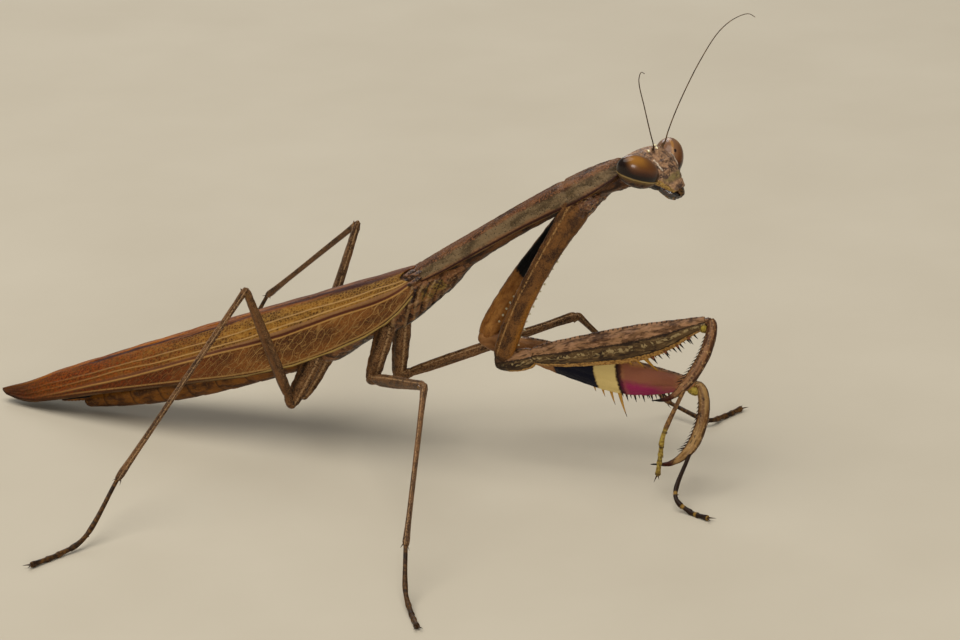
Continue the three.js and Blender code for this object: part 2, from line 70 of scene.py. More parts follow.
CAMERA_PLACE = (100.286, -196.913, 87.858)
CAMERA_TURN, CAMERA_TILT, CAMERA_ROLL = 21.0, 69.5, -2.37  # degrees
CAMERA_LENS, CAMERA_SENSOR = 133.03, 36  # mm
begin()
bpy.ops.object.camera_add(location=Vector(metres(CAMERA_PLACE)))
camera = bpy.context.object
camera.rotation_euler = (
    Matrix.Rotation(math.radians(CAMERA_TURN), 3, "Z")
    @ Matrix.Rotation(math.radians(CAMERA_TILT), 3, "X")
    @ Matrix.Rotation(math.radians(CAMERA_ROLL), 3, "Z")
).to_euler()
camera.data.lens, camera.data.sensor_width = CAMERA_LENS, CAMERA_SENSOR
camera.data.clip_start, camera.data.clip_end = 0.01, 20
bpy.context.scene.camera = camera
bpy.context.scene.view_settings.view_transform = "Standard"


class Value:
    """A shader socket that adds and multiplies as a number does, with the nodes that read it."""

    def __init__(self, finish, socket):
        self.finish, self.socket = finish, socket

    def math(self, operation, first, second):
        return self.finish.node("ShaderNodeMath", {"operation": operation}, {0: first, 1: second})

    def __add__(self, other):
        return self.math("ADD", self, other)

    def __sub__(self, other):
        return self.math("SUBTRACT", self, other)

    def __rsub__(self, other):
        return self.math("SUBTRACT", other, self)

    def __mul__(self, other):
        return self.math("MULTIPLY", self, other)

    def __abs__(self):
        return self.math("ABSOLUTE", self, 0)

    __radd__ = __add__
    __rmul__ = __mul__

    def to_and_fro(self, reach):
        """0 at each even multiple of the reach, and the reach at each odd one."""
        return self.math("PINGPONG", self, reach)

    def part(self, axis):
        return self.finish.node("ShaderNodeSeparateXYZ", {}, {0: self}, "XYZ".index(axis))

    def parts(self):
        return [self.part(axis) for axis in "XYZ"]

    def stretch(self, scale, turn=(0, 0, 0)):
        return self.finish.node("ShaderNodeMapping", {}, {"Vector": self, "Scale": scale, "Rotation": turn})

    def noise(self, scale, detail=2.0, warp=0.0):
        sockets = {"Vector": self, "Scale": scale, "Detail": detail, "Distortion": warp}
        return self.finish.node("ShaderNodeTexNoise", {}, sockets)

    def cells(self, scale, feature="F1", randomness=1.0):
        sockets = {"Vector": self, "Scale": scale, "Randomness": randomness}
        return self.finish.node("ShaderNodeTexVoronoi", {"feature": feature}, sockets)

    def rise(self, low, high):
        """0 below low and 1 above high, with a smooth step between; the other way round if low is more."""
        sockets = {"Value": self, "From Min": low, "From Max": high}
        return self.finish.node("ShaderNodeMapRange", {"interpolation_type": "SMOOTHSTEP"}, sockets)

    def within(self, low, high, soft):
        """1 between low and high, and 0 outside."""
        return self.rise(low - soft, low + soft) * self.rise(high + soft, high - soft)

    def ramp(self, *stops):
        return self.finish.node("ShaderNodeValToRGB", {"stops": stops}, {0: self})


def tint(code):
    """A colour from its six-digit code, as the shader's own values."""
    parts = [int(code[i:i + 2], 16) / 255 for i in (0, 2, 4)]
    return tuple(p / 12.92 if p <= 0.04045 else ((p + 0.055) / 1.055) ** 2.4 for p in parts) + (1.0,)


class Finish:
    """One material. Its colours are laid on from the base up, and show() sends them to the surface."""

    def __init__(self, name, **constants):
        self.material = bpy.data.materials.new(name)
        self.material.use_nodes = True
        self.tree = self.material.node_tree
        self.surface = self.tree.nodes["Principled BSDF"]
        for socket, amount in ({"Specular_IOR_Level": 0.15} | constants).items():
            self.surface.inputs[socket.replace("_", " ")].default_value = amount

    def node(self, kind, settings, sockets, output=0):
        made = self.tree.nodes.new(kind)
        for setting, choice in settings.items():
            if setting == "stops":
                ramp = made.color_ramp
                while len(ramp.elements) < len(choice):
                    ramp.elements.new(0.5)
                for element, (position, colour) in zip(ramp.elements, choice):
                    element.position, element.color = position, tint(colour)
            else:
                setattr(made, setting, choice)
        for socket, given in sockets.items():
            if isinstance(given, Value):
                self.tree.links.new(given.socket, made.inputs[socket])
            else:
                made.inputs[socket].default_value = given
        return Value(self, made.outputs[output])

    def attributes(self, *names):
        """Vectors kept on the mesh."""
        return [self.node("ShaderNodeAttribute", {"attribute_name": name}, {}, "Vector") for name in names]

    def blend(self, mask, under, over):
        """A colour over another where the mask is 1."""
        under, over = [tint(c) if isinstance(c, str) else c for c in (under, over)]
        return self.node("ShaderNodeMix", {"data_type": "RGBA"}, {0: mask, 6: under, 7: over}, 2)

    def base(self, mask, under, over):
        self.colour = self.blend(mask, under, over)

    def over(self, mask, colour):
        """One more layer of colour, laid on where the mask is 1."""
        self.colour = self.blend(mask, self.colour, colour)

    def show(self, roughness=None, height=None, depth=0.00003):
        """The layers of colour, the roughness and the relief (its depth in metres) of the surface."""
        for socket, value in (("Base Color", self.colour), ("Roughness", roughness)):
            if value is not None:
                self.tree.links.new(value.socket, self.surface.inputs[socket])
        if height is not None:
            bump = self.node("ShaderNodeBump", {}, {"Height": height, "Distance": depth, "Strength": 1.0})
            self.tree.links.new(bump.socket, self.surface.inputs["Normal"])
        return self.material


FLOOR_SIZE = 3  # m
begin()
bpy.ops.mesh.primitive_plane_add(size=FLOOR_SIZE, location=(0, 0, -0.00001))
floor = bpy.context.object
floor.name = "floor"
ground = Finish("pale_floor", Roughness=0.9, Specular_IOR_Level=0.5)
grain = ground.node("ShaderNodeTexCoord", {}, {}, "Object").noise(60, 4)
ground.base(grain, "b8af9c", "c6beac")
floor.data.materials.append(ground.show())

SKY = {"Color": (1.0, 0.94, 0.86, 1), "Strength": 0.22}
world = bpy.data.worlds.new("soft_sky")
world.use_nodes = True
for socket, amount in SKY.items():
    world.node_tree.nodes["Background"].inputs[socket].default_value = amount
bpy.context.scene.world = world

# [name, place, size, watts, colour]
LIGHTS = [
    ("light_above", (-0.10, -0.10, 0.50), 0.60, 2.7, (1.0, 0.96, 0.90)),
    ("light_front", (0.27, -0.44, 0.10), 0.18, 1.0, (1.0, 0.98, 0.95)),
    ("light_behind", (-0.25, 0.45, 0.30), 0.30, 0.7, (0.92, 0.96, 1.0)),
]
for name, place, size, watts, colour in LIGHTS:
    bpy.ops.object.light_add(type="AREA", location=place)
    lamp = bpy.context.object
    lamp.name = name
    lamp.data.shape = "DISK"
    lamp.data.size, lamp.data.energy, lamp.data.color = size, watts, colour
    lamp.rotation_euler = (Vector((0, 0, 0.01)) - Vector(place)).to_track_quat("-Z", "Y").to_euler()


# ---- Pronotum ----
# The long shield over the first body ring: one stiff plate of chitin with a fine keel along its
# back, a cross groove over the forelegs and a thin toothed margin on each side.

SHIELD_PITCH = math.radians(31)
TRUNK_PITCH = math.radians(20.8)


def body_axis(pitch):
    """Places by distance along a body axis from the pronotum's rear, to the left and above."""
    forward = np.array([math.cos(pitch), 0, math.sin(pitch)])
    above = np.array([-math.sin(pitch), 0, math.cos(pitch)])
    return (
        lambda along, left, height: PRONOTUM_REAR + along * forward + np.array([0, left, 0]) + height * above,
        above,
    )


raised_at, raised_up = body_axis(SHIELD_PITCH)
trunk_at, trunk_up = body_axis(TRUNK_PITCH)


def unit(direction):
    direction = np.asarray(direction, float)
    return direction / np.linalg.norm(direction, axis=-1, keepdims=True)


def flow(at, places, values):
    """A smooth curve through the values at the places."""
    places, values = np.asarray(places, float), np.asarray(values, float)
    slopes = np.gradient(values, places)
    at = np.clip(at, places[0], places[-1])
    i = np.clip(np.searchsorted(places, at) - 1, 0, len(places) - 2)
    step = places[i + 1] - places[i]
    u = (at - places[i]) / step
    ease = u * u * (3 - 2 * u)
    return (
        values[i] + (values[i + 1] - values[i]) * ease
        + step * (slopes[i] * u * (1 - u) ** 2 - slopes[i + 1] * u * u * (1 - u))
    )


class Line:
    """A smooth line through places, with a side that is its top."""

    def __init__(self, places, up):
        places = np.asarray(places, float)
        knots = np.concatenate([[0], np.cumsum(np.linalg.norm(np.diff(places, axis=0), axis=1) ** 0.5)])
        fine = np.linspace(0, knots[-1], 40 * (len(places) - 1) + 1)
        self.points = np.stack([flow(fine, knots, places[:, k]) for k in range(3)], axis=1)
        steps = np.linalg.norm(np.diff(self.points, axis=0), axis=1)
        self.reach = np.concatenate([[0], np.cumsum(steps)])
        self.length = self.reach[-1]
        self.tangents = unit(np.gradient(self.points, self.reach, axis=0))
        self.up = unit(up)

    def frame(self, along):
        """The centres and the forward, side and top directions at distances along the line."""
        along = np.atleast_1d(np.asarray(along, float))
        inside = np.clip(along, 0, self.length)
        centre, forward = [
            np.stack([np.interp(inside, self.reach, kept[:, k]) for k in range(3)], axis=1)
            for kept in (self.points, self.tangents)
        ]
        forward = unit(forward)
        centre += forward * (along - inside)[:, None]
        top = unit(self.up - (forward @ self.up)[:, None] * forward)
        return np.array([centre, forward, np.cross(top, forward), top])

    def spot(self, along, side, height):
        centre, forward, left, top = self.frame(along)
        return (centre + left * side + top * height)[0]


def points_of(piece):
    spots = np.empty(len(piece.data.vertices) * 3)
    piece.data.vertices.foreach_get("co", spots)
    return spots.reshape(-1, 3)


def set_points(piece, spots):
    piece.data.vertices.foreach_set("co", np.ascontiguousarray(spots, float).ravel())
    piece.data.update()


def keep(piece, name, vectors):
    """Keeps a vector for each point of a mesh, for its material to read."""
    stored = piece.data.attributes.new(name, "FLOAT_VECTOR", "POINT")
    stored.data.foreach_set("vector", np.ascontiguousarray(vectors, float).ravel())


def apply(piece, kind, **settings):
    modifier = piece.modifiers.new(kind.lower(), kind)
    for setting, choice in settings.items():
        setattr(modifier, setting, choice)
    bpy.ops.object.modifier_apply(modifier=modifier.name)


def held(stations):
    """The stations with one more near each end, so that smoothing doesn't draw the ends in."""
    def near(end, other):
        gap = min(0.5 * end[1], 0.3 * abs(other[0] - end[0]))
        share = gap / abs(other[0] - end[0])
        return tuple(a + (b - a) * share for a, b in zip(end, other))

    first, last = near(stations[0], stations[1]), near(stations[-1], stations[-2])
    return [stations[0], first, *stations[1:-1], last, stations[-1]]


def tube(name, stations, sides, levels):
    """A closed tube along X. Each station is its place, half width, top and bottom."""
    begin()
    stations = held(stations)
    spread = 3 / (2 + math.cos(2 * math.pi / sides))  # what the smoothing takes in again
    along, width, top, bottom = stations[0]
    bpy.ops.mesh.primitive_circle_add(
        vertices=sides, radius=spread, fill_type="NGON",
        location=(along, 0, (top + bottom) / 2), rotation=(0, math.pi / 2, 0),
    )
    bpy.ops.object.transform_apply(location=True, rotation=True, scale=True)
    piece = bpy.context.object
    piece.name = piece.data.name = name
    bpy.ops.object.mode_set(mode="EDIT")
    bpy.ops.mesh.select_all(action="SELECT")
    bpy.ops.transform.resize(
        value=(1, width, (top - bottom) / 2), center_override=(along, 0, (top + bottom) / 2)
    )
    for before, after in zip(stations, stations[1:]):
        lift = (after[2] + after[3] - before[2] - before[3]) / 2
        bpy.ops.mesh.extrude_region_move(
            TRANSFORM_OT_translate={"value": (after[0] - before[0], 0, lift)}
        )
        bpy.ops.transform.resize(
            value=(1, after[1] / before[1], (after[2] - after[3]) / (before[2] - before[3])),
            center_override=(after[0], 0, (after[2] + after[3]) / 2),
        )
    bpy.ops.mesh.select_all(action="SELECT")
    bpy.ops.mesh.normals_make_consistent(inside=False)
    bpy.ops.object.mode_set(mode="OBJECT")
    apply(piece, "SUBSURF", levels=levels, render_levels=levels)
    return piece


def limb(name, stations, line, form=None, belly=1.0, rough=0.0, grain=0.5, sides=12, levels=2, inner=1):
    """A tube shaped by form(along, turn), roughened, and laid along a line.

    A station of two numbers is round, and one of three is as deep below as it is high above.
    turn is in degrees from the top, positive to the left. belly presses the lower half flatter.
    The straight places are kept as "rest", and along, turn and the share of the length as "wrap",
    both with left and right changed over where inner is -1."""
    def filled(place, width, top=None, bottom=None):
        top = width if top is None else top
        return place, width, top, -top if bottom is None else bottom

    stations = [filled(*station) for station in stations]
    piece = tube(name, stations, sides, levels)
    places, widths, tops, bottoms = np.array(stations, float).T
    spots = points_of(piece)
    along = spots[:, 0]
    middle = np.interp(along, places, (tops + bottoms) / 2)
    half_width = np.interp(along, places, widths)
    half_height = np.interp(along, places, (tops - bottoms) / 2)
    turn = np.degrees(np.arctan2(spots[:, 1] / half_width, (spots[:, 2] - middle) / half_height))
    height = spots[:, 2] - middle
    height = np.where(height < 0, height * belly, height)
    swell = 1.0 if form is None else form(along, turn)
    spots[:, 1] *= swell
    spots[:, 2] = middle + height * swell
    set_points(piece, spots)
    if rough:
        texture = bpy.data.textures.new(name, "CLOUDS")
        texture.noise_scale, texture.noise_depth = grain, 3
        apply(piece, "DISPLACE", texture=texture, strength=rough, mid_level=0.5)
        spots = points_of(piece)
    start, length = places[0], places[-1] - places[0]
    keep(piece, "rest", spots * (1, inner, 1))
    keep(piece, "wrap", np.stack([along, turn * inner, (along - start) / length], axis=1))
    centre, _, left, top = line.frame((spots[:, 0] - start) * line.length / length)
    set_points(piece, metres(centre + left * spots[:, 1:2] + top * spots[:, 2:3]))
    bpy.ops.object.shade_smooth()
    return piece


def bulge(offset, width):
    """1 where the offset is 0, falling to 0 within about two widths."""
    return np.exp(-((offset / width) ** 2))


def mark(along, turn, start, end, width, girth):
    """1 on a straight mark between two (along, turn) places of a tube of that girth, 0 off it."""
    scale = np.array([1.0, girth / 360])
    spots = np.stack([along, turn], axis=1) * scale
    start, end = np.array(start) * scale, np.array(end) * scale
    run = end - start
    share = np.clip((spots - start) @ run / (run @ run), 0, 1)
    away = np.linalg.norm(spots - start - share[:, None] * run, axis=1)
    return bulge(away, width)


def dress(piece, slot, material, *nodes):
    """Gives a finished piece its material, its body and the solids that it stands for."""
    piece.data.materials.clear()
    piece.data.materials.append(material)
    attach(piece, "root")
    if nodes:
        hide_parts(*nodes)


# [along, half width, top, bottom], of which the lower half is pressed nearly flat
SHIELD = [
    (-0.4, 1.0, -0.05, -1.45), (0.1, 1.28, 0.02, -1.9), (2, 1.3, 0.1, -2.1), (5, 1.05, 0.18, -2.1),
    (8.2, 0.97, 0.3, -2.2), (10.4, 1.2, 0.32, -2.3), (12.1, 1.68, 0.32, -2.4), (13.6, 1.55, 0.24, -2.3),
    (15.0, 1.15, 0.08, -2.0), (15.8, 0.6, -0.1, -1.4),
]


def shield_form(along, turn):
    side = abs(turn)
    keel = 0.05 * bulge(side, 5)
    hollow = 0.05 * bulge(side - 66, 12)
    margin = 0.05 * bulge(side - 90, 6) * (1 + 0.4 * np.sin(along * 14))
    groove = 0.07 * bulge(along - 11.6 - side * 0.006, 0.16) * (side < 80)
    return 1 + keel - hollow + margin - groove


shield_line = Line([raised_at(-0.4, 0, 0), raised_at(15.8, 0, 0)], raised_up)
shield = limb(
    "pronotum_shield", SHIELD, shield_line, shield_form, belly=0.16, rough=0.05, grain=0.35,
    sides=16, levels=3,
)

mottled = Finish("pronotum_chitin")
rest, wrap = mottled.attributes("rest", "wrap")
side = abs(wrap.part("Y"))
cloud = rest.stretch((0.4, 1, 1)).noise(1.8, 4, 0.4)
patch = rest.stretch((0.3, 1, 1)).noise(1.1, 3)
speck = rest.noise(7, 3)
pits = rest.stretch((6, 7, 7)).cells(1.0)
mottled.base(cloud.rise(0.38, 0.62), "3a2414", "6e4a2c")
mottled.over(speck.rise(0.5, 0.7) * 0.5, "8c6440")
mottled.over(patch.rise(0.5, 0.62) * side.rise(60, 30) * 0.6, "5c3a26")
flank = (side + (cloud - 0.5) * 26).within(44, 82, 8)
mottled.over(flank * 0.75, mottled.blend((cloud + (speck - 0.5) * 0.4).rise(0.36, 0.62), "4a3d28", "6e5f45"))
spots = (side + (cloud - 0.5) * 30).within(22, 44, 6) * speck.rise(0.52, 0.62)
mottled.over(spots * 0.5, "8a5636")
mottled.over(pits.rise(0.36, 0.16) * speck.rise(0.44, 0.56) * 0.85, "1c100a")
mottled.over(side.rise(82, 87), "2c120a")
mottled.over(side.rise(90, 96), mottled.blend(cloud.rise(0.36, 0.62), "2e1a0c", "6b4c26"))
relief = cloud * 0.5 + rest.noise(9, 3) * 0.5 + pits.rise(0.2, 0.5) * 0.3
dress(shield, "pronotum", mottled.show(rest.noise(3, 2) * 0.25 + 0.36, relief, 0.00006), "prothorax")

# [along, half width, top, bottom]
BREAST = [
    (0.0, 0.85, -0.5, -1.5), (1.9, 0.95, -0.5, -1.85), (3.8, 0.8, -0.5, -1.62),
    (5.4, 0.72, -0.5, -1.52), (8.7, 0.7, -0.5, -1.35), (11.0, 0.85, -0.5, -1.45),
    (13.0, 1.15, -0.5, -1.65), (14.4, 1.0, -0.5, -1.75), (15.3, 0.8, -0.6, -1.95),
    (16.0, 0.6, -0.8, -2.1),
]
breast_line = Line([raised_at(0, 0, 0), raised_at(16, 0, 0)], raised_up)
breast = limb("prosternum", BREAST, breast_line, rough=0.16, grain=0.55, levels=3)
under = Finish("underside_chitin")
rest, wrap = under.attributes("rest", "wrap")
cloud = rest.stretch((0.5, 1, 1)).noise(2.2, 4)
under.base(cloud.rise(0.35, 0.65), "24140b", "5e3c20")
under.over(abs(wrap.part("Y")).rise(150, 170), "170906")
dress(breast, "pronotum", under.show(cloud * 0.3 + 0.25, rest.noise(7, 3), 0.00008))


# ---- Neck and thorax ----
# The neck is a soft sleeve with small hard plates. The two wing-bearing rings behind the pronotum are
# boxes of ridged plates, joined edge to edge, from which the wings and the walking legs spring.

FACE = unit((0.762, -0.043, 0.646))
HEAD_LEFT = np.array([0.136, 0.986, -0.095])
HEAD_LEFT = unit(HEAD_LEFT - HEAD_LEFT @ FACE * FACE)
MOUTHWARD = np.cross(HEAD_LEFT, FACE)
FACE_AXES = (MOUTHWARD, HEAD_LEFT, FACE)
EYE_LINE = np.array([36.51, 0, 20.52])  # midway between the eyes


def in_head(down, front, left):
    return EYE_LINE + down * MOUTHWARD + front * FACE + left * HEAD_LEFT


# [along, half width, top, bottom]
NECK = [
    (0, 0.8, 0.7, -0.75), (0.5, 0.72, 0.7, -0.72), (1.0, 0.75, 0.72, -0.8), (1.6, 0.7, 0.68, -0.7),
    (2.2, 0.78, 0.75), (2.9, 0.75, 0.7),
]
neck_line = Line([raised_at(14.6, 0, -1.15), in_head(-0.1, -0.9, 0)], (0, 0, 1))
neck = limb("neck_sleeve", NECK, neck_line, rough=0.14, grain=0.3, levels=3)
dress(neck, "thorax", under.material, "neck")

THORAX = [
    (-9.3, 1.1, -1.9, -3.9), (-9.0, 1.5, -1.75, -4.3), (-8.1, 1.75, -1.7, -4.62),
    (-6.6, 1.8, -1.6, -4.2), (-5.2, 1.85, -1.5, -3.75), (-4.3, 1.8, -1.0, -3.75),
    (-3.2, 1.85, -0.7, -3.75), (-1.9, 1.8, -0.5, -3.5), (-0.6, 1.6, -0.3, -3.0),
    (0.7, 1.4, -0.3, -2.45), (2.0, 1.1, -0.5, -1.95), (3.1, 0.85, -0.4, -1.25), (4.4, 0.6, -0.1, -0.65),
]

# Ridges and seams of the flank: (start, end, width, lift), each end (along, turn from the top).
FLANK = [
    ((1.2, 75), (-0.5, 150), 0.10, 0.10), ((2.2, 90), (0.6, 165), 0.09, 0.08),
    ((0.3, 72), (-1.5, 150), 0.10, 0.11), ((-0.4, 62), (-0.9, 100), 0.12, 0.12),
    ((-0.9, 100), (-2.4, 155), 0.12, 0.12), ((-0.9, 100), (0.1, 118), 0.09, 0.08),
    ((-1.5, 62), (-3.2, 150), 0.13, 0.12), ((1.6, 82), (0.0, 158), 0.07, -0.10),
    ((0.75, 74), (-1.0, 152), 0.08, -0.12), ((-0.1, 70), (-2.0, 152), 0.08, -0.12),
    ((-2.6, 80), (-3.6, 160), 0.14, -0.12), ((3.0, 110), (1.2, 175), 0.10, 0.07),
    ((-5.0, 90), (-6.4, 140), 0.2, 0.05), ((-6.2, 80), (-7.6, 130), 0.2, 0.05),
    ((-4.6, 70), (-5.4, 150), 0.2, -0.06), ((-3.9, 90), (-2.9, 120), 0.12, 0.07),
]


def marked(marks, girth):
    """The form of a tube of that girth with straight ridges and furrows on both sides."""
    def form(along, turn):
        return 1 + sum(
            lift * mark(along, abs(turn), start, end, width, girth) for start, end, width, lift in marks
        )

    return form


flank_form = marked(FLANK, 11)


thorax_line = Line([trunk_at(-9.3, 0, 0), trunk_at(4.4, 0, 0)], trunk_up)
thorax = limb("thorax_rings", THORAX, thorax_line, flank_form, rough=0.08, grain=0.5, sides=20, levels=3)
wrapped = np.empty(len(thorax.data.vertices) * 3)
thorax.data.attributes["wrap"].data.foreach_get("vector", wrapped)
along, turn, share = wrapped.reshape(-1, 3).T
height = flank_form(along, turn) - 1
keep(thorax, "ridges", np.stack([np.maximum(height, 0), np.maximum(-height, 0), share], axis=1) * 12)
pleura = Finish("thorax_chitin", Specular_IOR_Level=0.2)
rest, wrap, ridges = pleura.attributes("rest", "wrap", "ridges")
side = abs(wrap.part("Y"))
along = rest.part("X")
cloud = rest.noise(1.8, 4, 0.6)
speck = rest.noise(6, 3)
pits = rest.cells(8).rise(0.4, 0.15) * speck.rise(0.42, 0.55)
pleura.base(cloud.rise(0.38, 0.6), "341e10", "744c2c")
pleura.over(speck.rise(0.52, 0.66) * 0.6, "96704a")
pleura.over(pits * 0.6, "180d08")
gold = (along + (cloud - 0.5) * 1.5).within(-0.1, 1.6, 0.4) * side.within(80, 125, 12)
pleura.over(gold * speck.rise(0.36, 0.6) * 0.8, "7e6428")
# Painted highlight: paler along the raised ridges of the flank.
pleura.over((ridges.part("X") + (speck - 0.5) * 0.6).rise(0.4, 1.1) * 0.5, "a08058")
pleura.over(ridges.part("Y").rise(0.3, 0.9) * 0.75, "120a07")
pleura.over(side.rise(145, 160), "100907")
sheen = rest.noise(2.5, 2).rise(0.45, 0.7)
pleura_material = pleura.show(0.48 - sheen * 0.25, speck * 0.5 + cloud - pits * 0.4, 0.00009)
dress(thorax, "thorax", pleura_material, "mesothorax", "metathorax")

# Small glossy plates close the place where the wings are hinged.
HINGES = [  # (front end, rear end, half width, half height), places along the trunk, to the left and above
    ((0.9, 0.0, -0.58), (-1.9, 0.0, -0.62), 1.25, 0.5),
    ((0.5, 0.8, -0.36), (-0.5, 1.1, -0.42), 0.22, 0.16),
    ((-0.1, 0.75, -0.2), (-1.0, 1.0, -0.34), 0.2, 0.15),
    ((0.3, 1.2, -0.62), (-0.7, 1.5, -0.85), 0.24, 0.17),
]
PLATE_OUTLINE = ((0, 0.35), (0.15, 0.8), (0.5, 1.0), (0.85, 0.8), (1, 0.35))
hinge_paint = Finish("wing_hinge_chitin", Specular_IOR_Level=0.4)
rest = hinge_paint.attributes("rest")[0]
cloud, speck = rest.noise(2.5, 4, 0.6), rest.noise(8, 3)
hinge_paint.base(cloud.rise(0.4, 0.6), "24120a", "6b4428")
# Pale specks painted on as glints, on the same spots where the plates are also made glossier.
hinge_paint.over(speck.rise(0.55, 0.68) * 0.6, "a8865a")
hinge_material = hinge_paint.show(0.4 - speck * 0.2, cloud + speck * 0.6, 0.00012)
for number, (front_end, rear_end, wide, high) in enumerate(HINGES):
    for way in (1, -1) if number else (1,):
        line = Line([trunk_at(x, way * y, z) for x, y, z in (front_end, rear_end)], trunk_up)
        far = line.length
        plate = limb(
            f"wing_hinge_{number}_{'left' if way > 0 else 'right'}",
            [(far * t, wide * w, high * w) for t, w in PLATE_OUTLINE],
            line, rough=0.10, grain=0.2, levels=3,
        )
        dress(plate, "thorax", hinge_material)


# ---- Abdomen and cerci ----
# A soft body under hard plates: each belly and back plate slides over the next like a telescope, and
# two short jointed feelers, the cerci, end it.

SIDES = (("left", 1), ("right", -1))
ABDOMEN_START, ABDOMEN_END, PLATES = 9.3, 27.0, 8
ABDOMEN = []
for step in range(15):
    t = step / 14
    taper = 1 - t ** 2.6
    top = -1.7 - 0.2 * t ** 4
    ABDOMEN.append((
        -ABDOMEN_END + (ABDOMEN_END - ABDOMEN_START) * (1 - t), 0.78 + 1.1 * taper,
        top, -2.8 - 1.9 * taper * (0.85 + 0.15 * t),
    ))
ABDOMEN.reverse()


def belly_form(along, turn):
    plate = (-along - ABDOMEN_START) / (ABDOMEN_END - ABDOMEN_START) * PLATES
    edge = plate % 1
    step = 0.035 * edge - 0.03 * bulge(edge, 0.07) - 0.03 * bulge(edge - 1, 0.05)
    fold = 0.05 * bulge(abs(turn) - 97, 5)
    return 1 + step - fold


belly_line = Line([trunk_at(-ABDOMEN_END, 0, 0), trunk_at(-ABDOMEN_START, 0, 0)], trunk_up)
belly = limb("abdomen_plates", ABDOMEN, belly_line, belly_form, rough=0.05, grain=0.6, sides=16, levels=3)
banded = Finish("abdomen_chitin")
rest, wrap = banded.attributes("rest", "wrap")
cloud = rest.stretch((0.5, 1, 1)).noise(1.8, 4, 0.3)
speck = rest.noise(7, 3)
plate = rest.part("X") * (PLATES / (ABDOMEN_END - ABDOMEN_START)) + 20.4
seam = banded.node("ShaderNodeMath", {"operation": "FRACT"}, {0: plate})
banded.base(cloud.rise(0.35, 0.65), "3c200a", "744614")
banded.over(speck.rise(0.5, 0.75) * 0.45, "865c26")
side = abs(wrap.part("Y"))
# Painted shadow: a near-black band along the top of the abdomen's front part, where the wings' rim shades it.
banded.over((side + (cloud - 0.5) * 8).rise(92, 85) * rest.part("X").rise(-22, -17), "0c0604")
banded.over(side.rise(150, 175) * 0.5, "341d0a")
banded.over(seam.rise(0.12, 0.0) * 0.7, "1d0e05")
dress(belly, "abdomen", banded.show(cloud * 0.25 + 0.32, speck * 0.5 + cloud * 0.5, 0.00007), "abdomen")


def cercus_form(along, turn):
    return 1 + 0.12 * np.sin(along * 2 * math.pi / 0.28)


for side_name, side in SIDES:
    line = Line([trunk_at(-25.9, side * 0.45, -2.2), trunk_at(-28.4, side * 0.8, -1.7)], trunk_up)
    stations = [(0, 0.16, 0.16), (0.6, 0.24, 0.22), (1.6, 0.22, 0.2), (2.8, 0.09, 0.08)]
    cercus = limb(f"cercus_beads_{side_name}", stations, line, cercus_form, sides=8, levels=3)
    dress(cercus, "abdomen", banded.material, f"cercus_{side_name}")


# ---- Wings ----
# Two narrow leathery forewings lie roof-like over the back, the left one's edge over the right one's.
# A stiff double vein runs down each, with a net of fine veins on both sides of it and a thick front
# rim. Under them are the thin dark hind wings, whose tips show behind.

WING_ROOT, WING_TIP = 0.4, 32.95
# [distance behind the pronotum, half width of the folded pair, droop of the front edge]
FOREWING = np.array([
    (0.4, 1.75, 1.4), (1.6, 2.3, 2.15), (3.0, 2.55, 2.7), (6.0, 2.7, 3.25), (9.8, 2.8, 3.55),
    (14.1, 2.8, 3.3), (18.2, 2.65, 2.72), (22.2, 2.35, 2.2), (26.3, 1.85, 1.72), (28.3, 1.52, 1.55),
    (29.9, 1.2, 1.32), (31.2, 0.88, 1.02), (32.2, 0.55, 0.58), (32.75, 0.3, 0.28), (32.95, 0.1, 0.08),
])
HINDWING = np.array([
    (4.0, 1.3, 1.0), (8.0, 1.9, 1.6), (16.0, 2.1, 1.9), (22.0, 1.8, 1.6), (26.0, 1.4, 1.45),
    (28.5, 1.1, 1.45), (30.9, 0.72, 1.0), (32.2, 0.42, 0.45), (32.8, 0.14, 0.1),
])


def wing_spots(table, side, behind, across, lift=0.0, inner_edge=-0.35):
    """Places on a folded wing. across goes from 0 at its inner edge to 1 at its front edge."""
    half_width = flow(behind, table[:, 0], table[:, 1])
    droop = flow(behind, table[:, 0], table[:, 2])
    t = np.clip((behind - WING_ROOT) / (WING_TIP - WING_ROOT), 0, 1)
    ridge = 0.15 * np.sin(np.pi * t) - 0.05 + 0.15 * t * t - 0.12 * bulge(behind - 30.8, 1.4)
    inner = inner_edge * np.minimum(1, half_width / 1.2)
    out = inner + across * (half_width - inner)
    share = abs(out) / half_width
    slope = np.sign(out) * droop * 2.4 * share ** 1.4 / half_width
    steep = np.sqrt(1 + slope * slope)
    tucked = 0.0 if side > 0 else -0.10 * np.clip(1 - (out + 0.35) / 0.8, 0, 1)
    height = ridge - droop * share ** 2.4 + tucked + lift / steep
    left = side * (out + lift * slope / steep)
    forward = np.array([math.cos(TRUNK_PITCH), 0, math.sin(TRUNK_PITCH)])
    return (
        PRONOTUM_REAR - behind[..., None] * forward + left[..., None] * np.array([0, 1, 0])
        + height[..., None] * trunk_up
    )


# Where the four main veins run: distances behind the pronotum, then how far across each lies there.
VEIN_PLACES = [0.4, 2.5, 5, 8, 10.5, 13, 15, 17, 20, 23, 25.5, 28, 32.95]
MEDIAN_VEIN = [0.62, 0.56, 0.565, 0.545, 0.555, 0.58, 0.60, 0.61, 0.63, 0.65, 0.68, 0.70, 0.74]
CUBITAL_VEIN = [0.70, 0.65, 0.643, 0.648, 0.655, 0.683, 0.69, 0.71, 0.735, 0.735, 0.775, 0.81, 0.85]
RADIAL_VEIN = [0.75, 0.70, 0.69, 0.693, 0.708, 0.725, 0.738, 0.76, 0.80, 0.83, 0.855, 0.88, 0.92]
COSTAL_VEIN = [0.82, 0.78, 0.748, 0.748, 0.763, 0.77, 0.772, 0.795, 0.83, 0.865, 0.885, 0.91, 0.95]


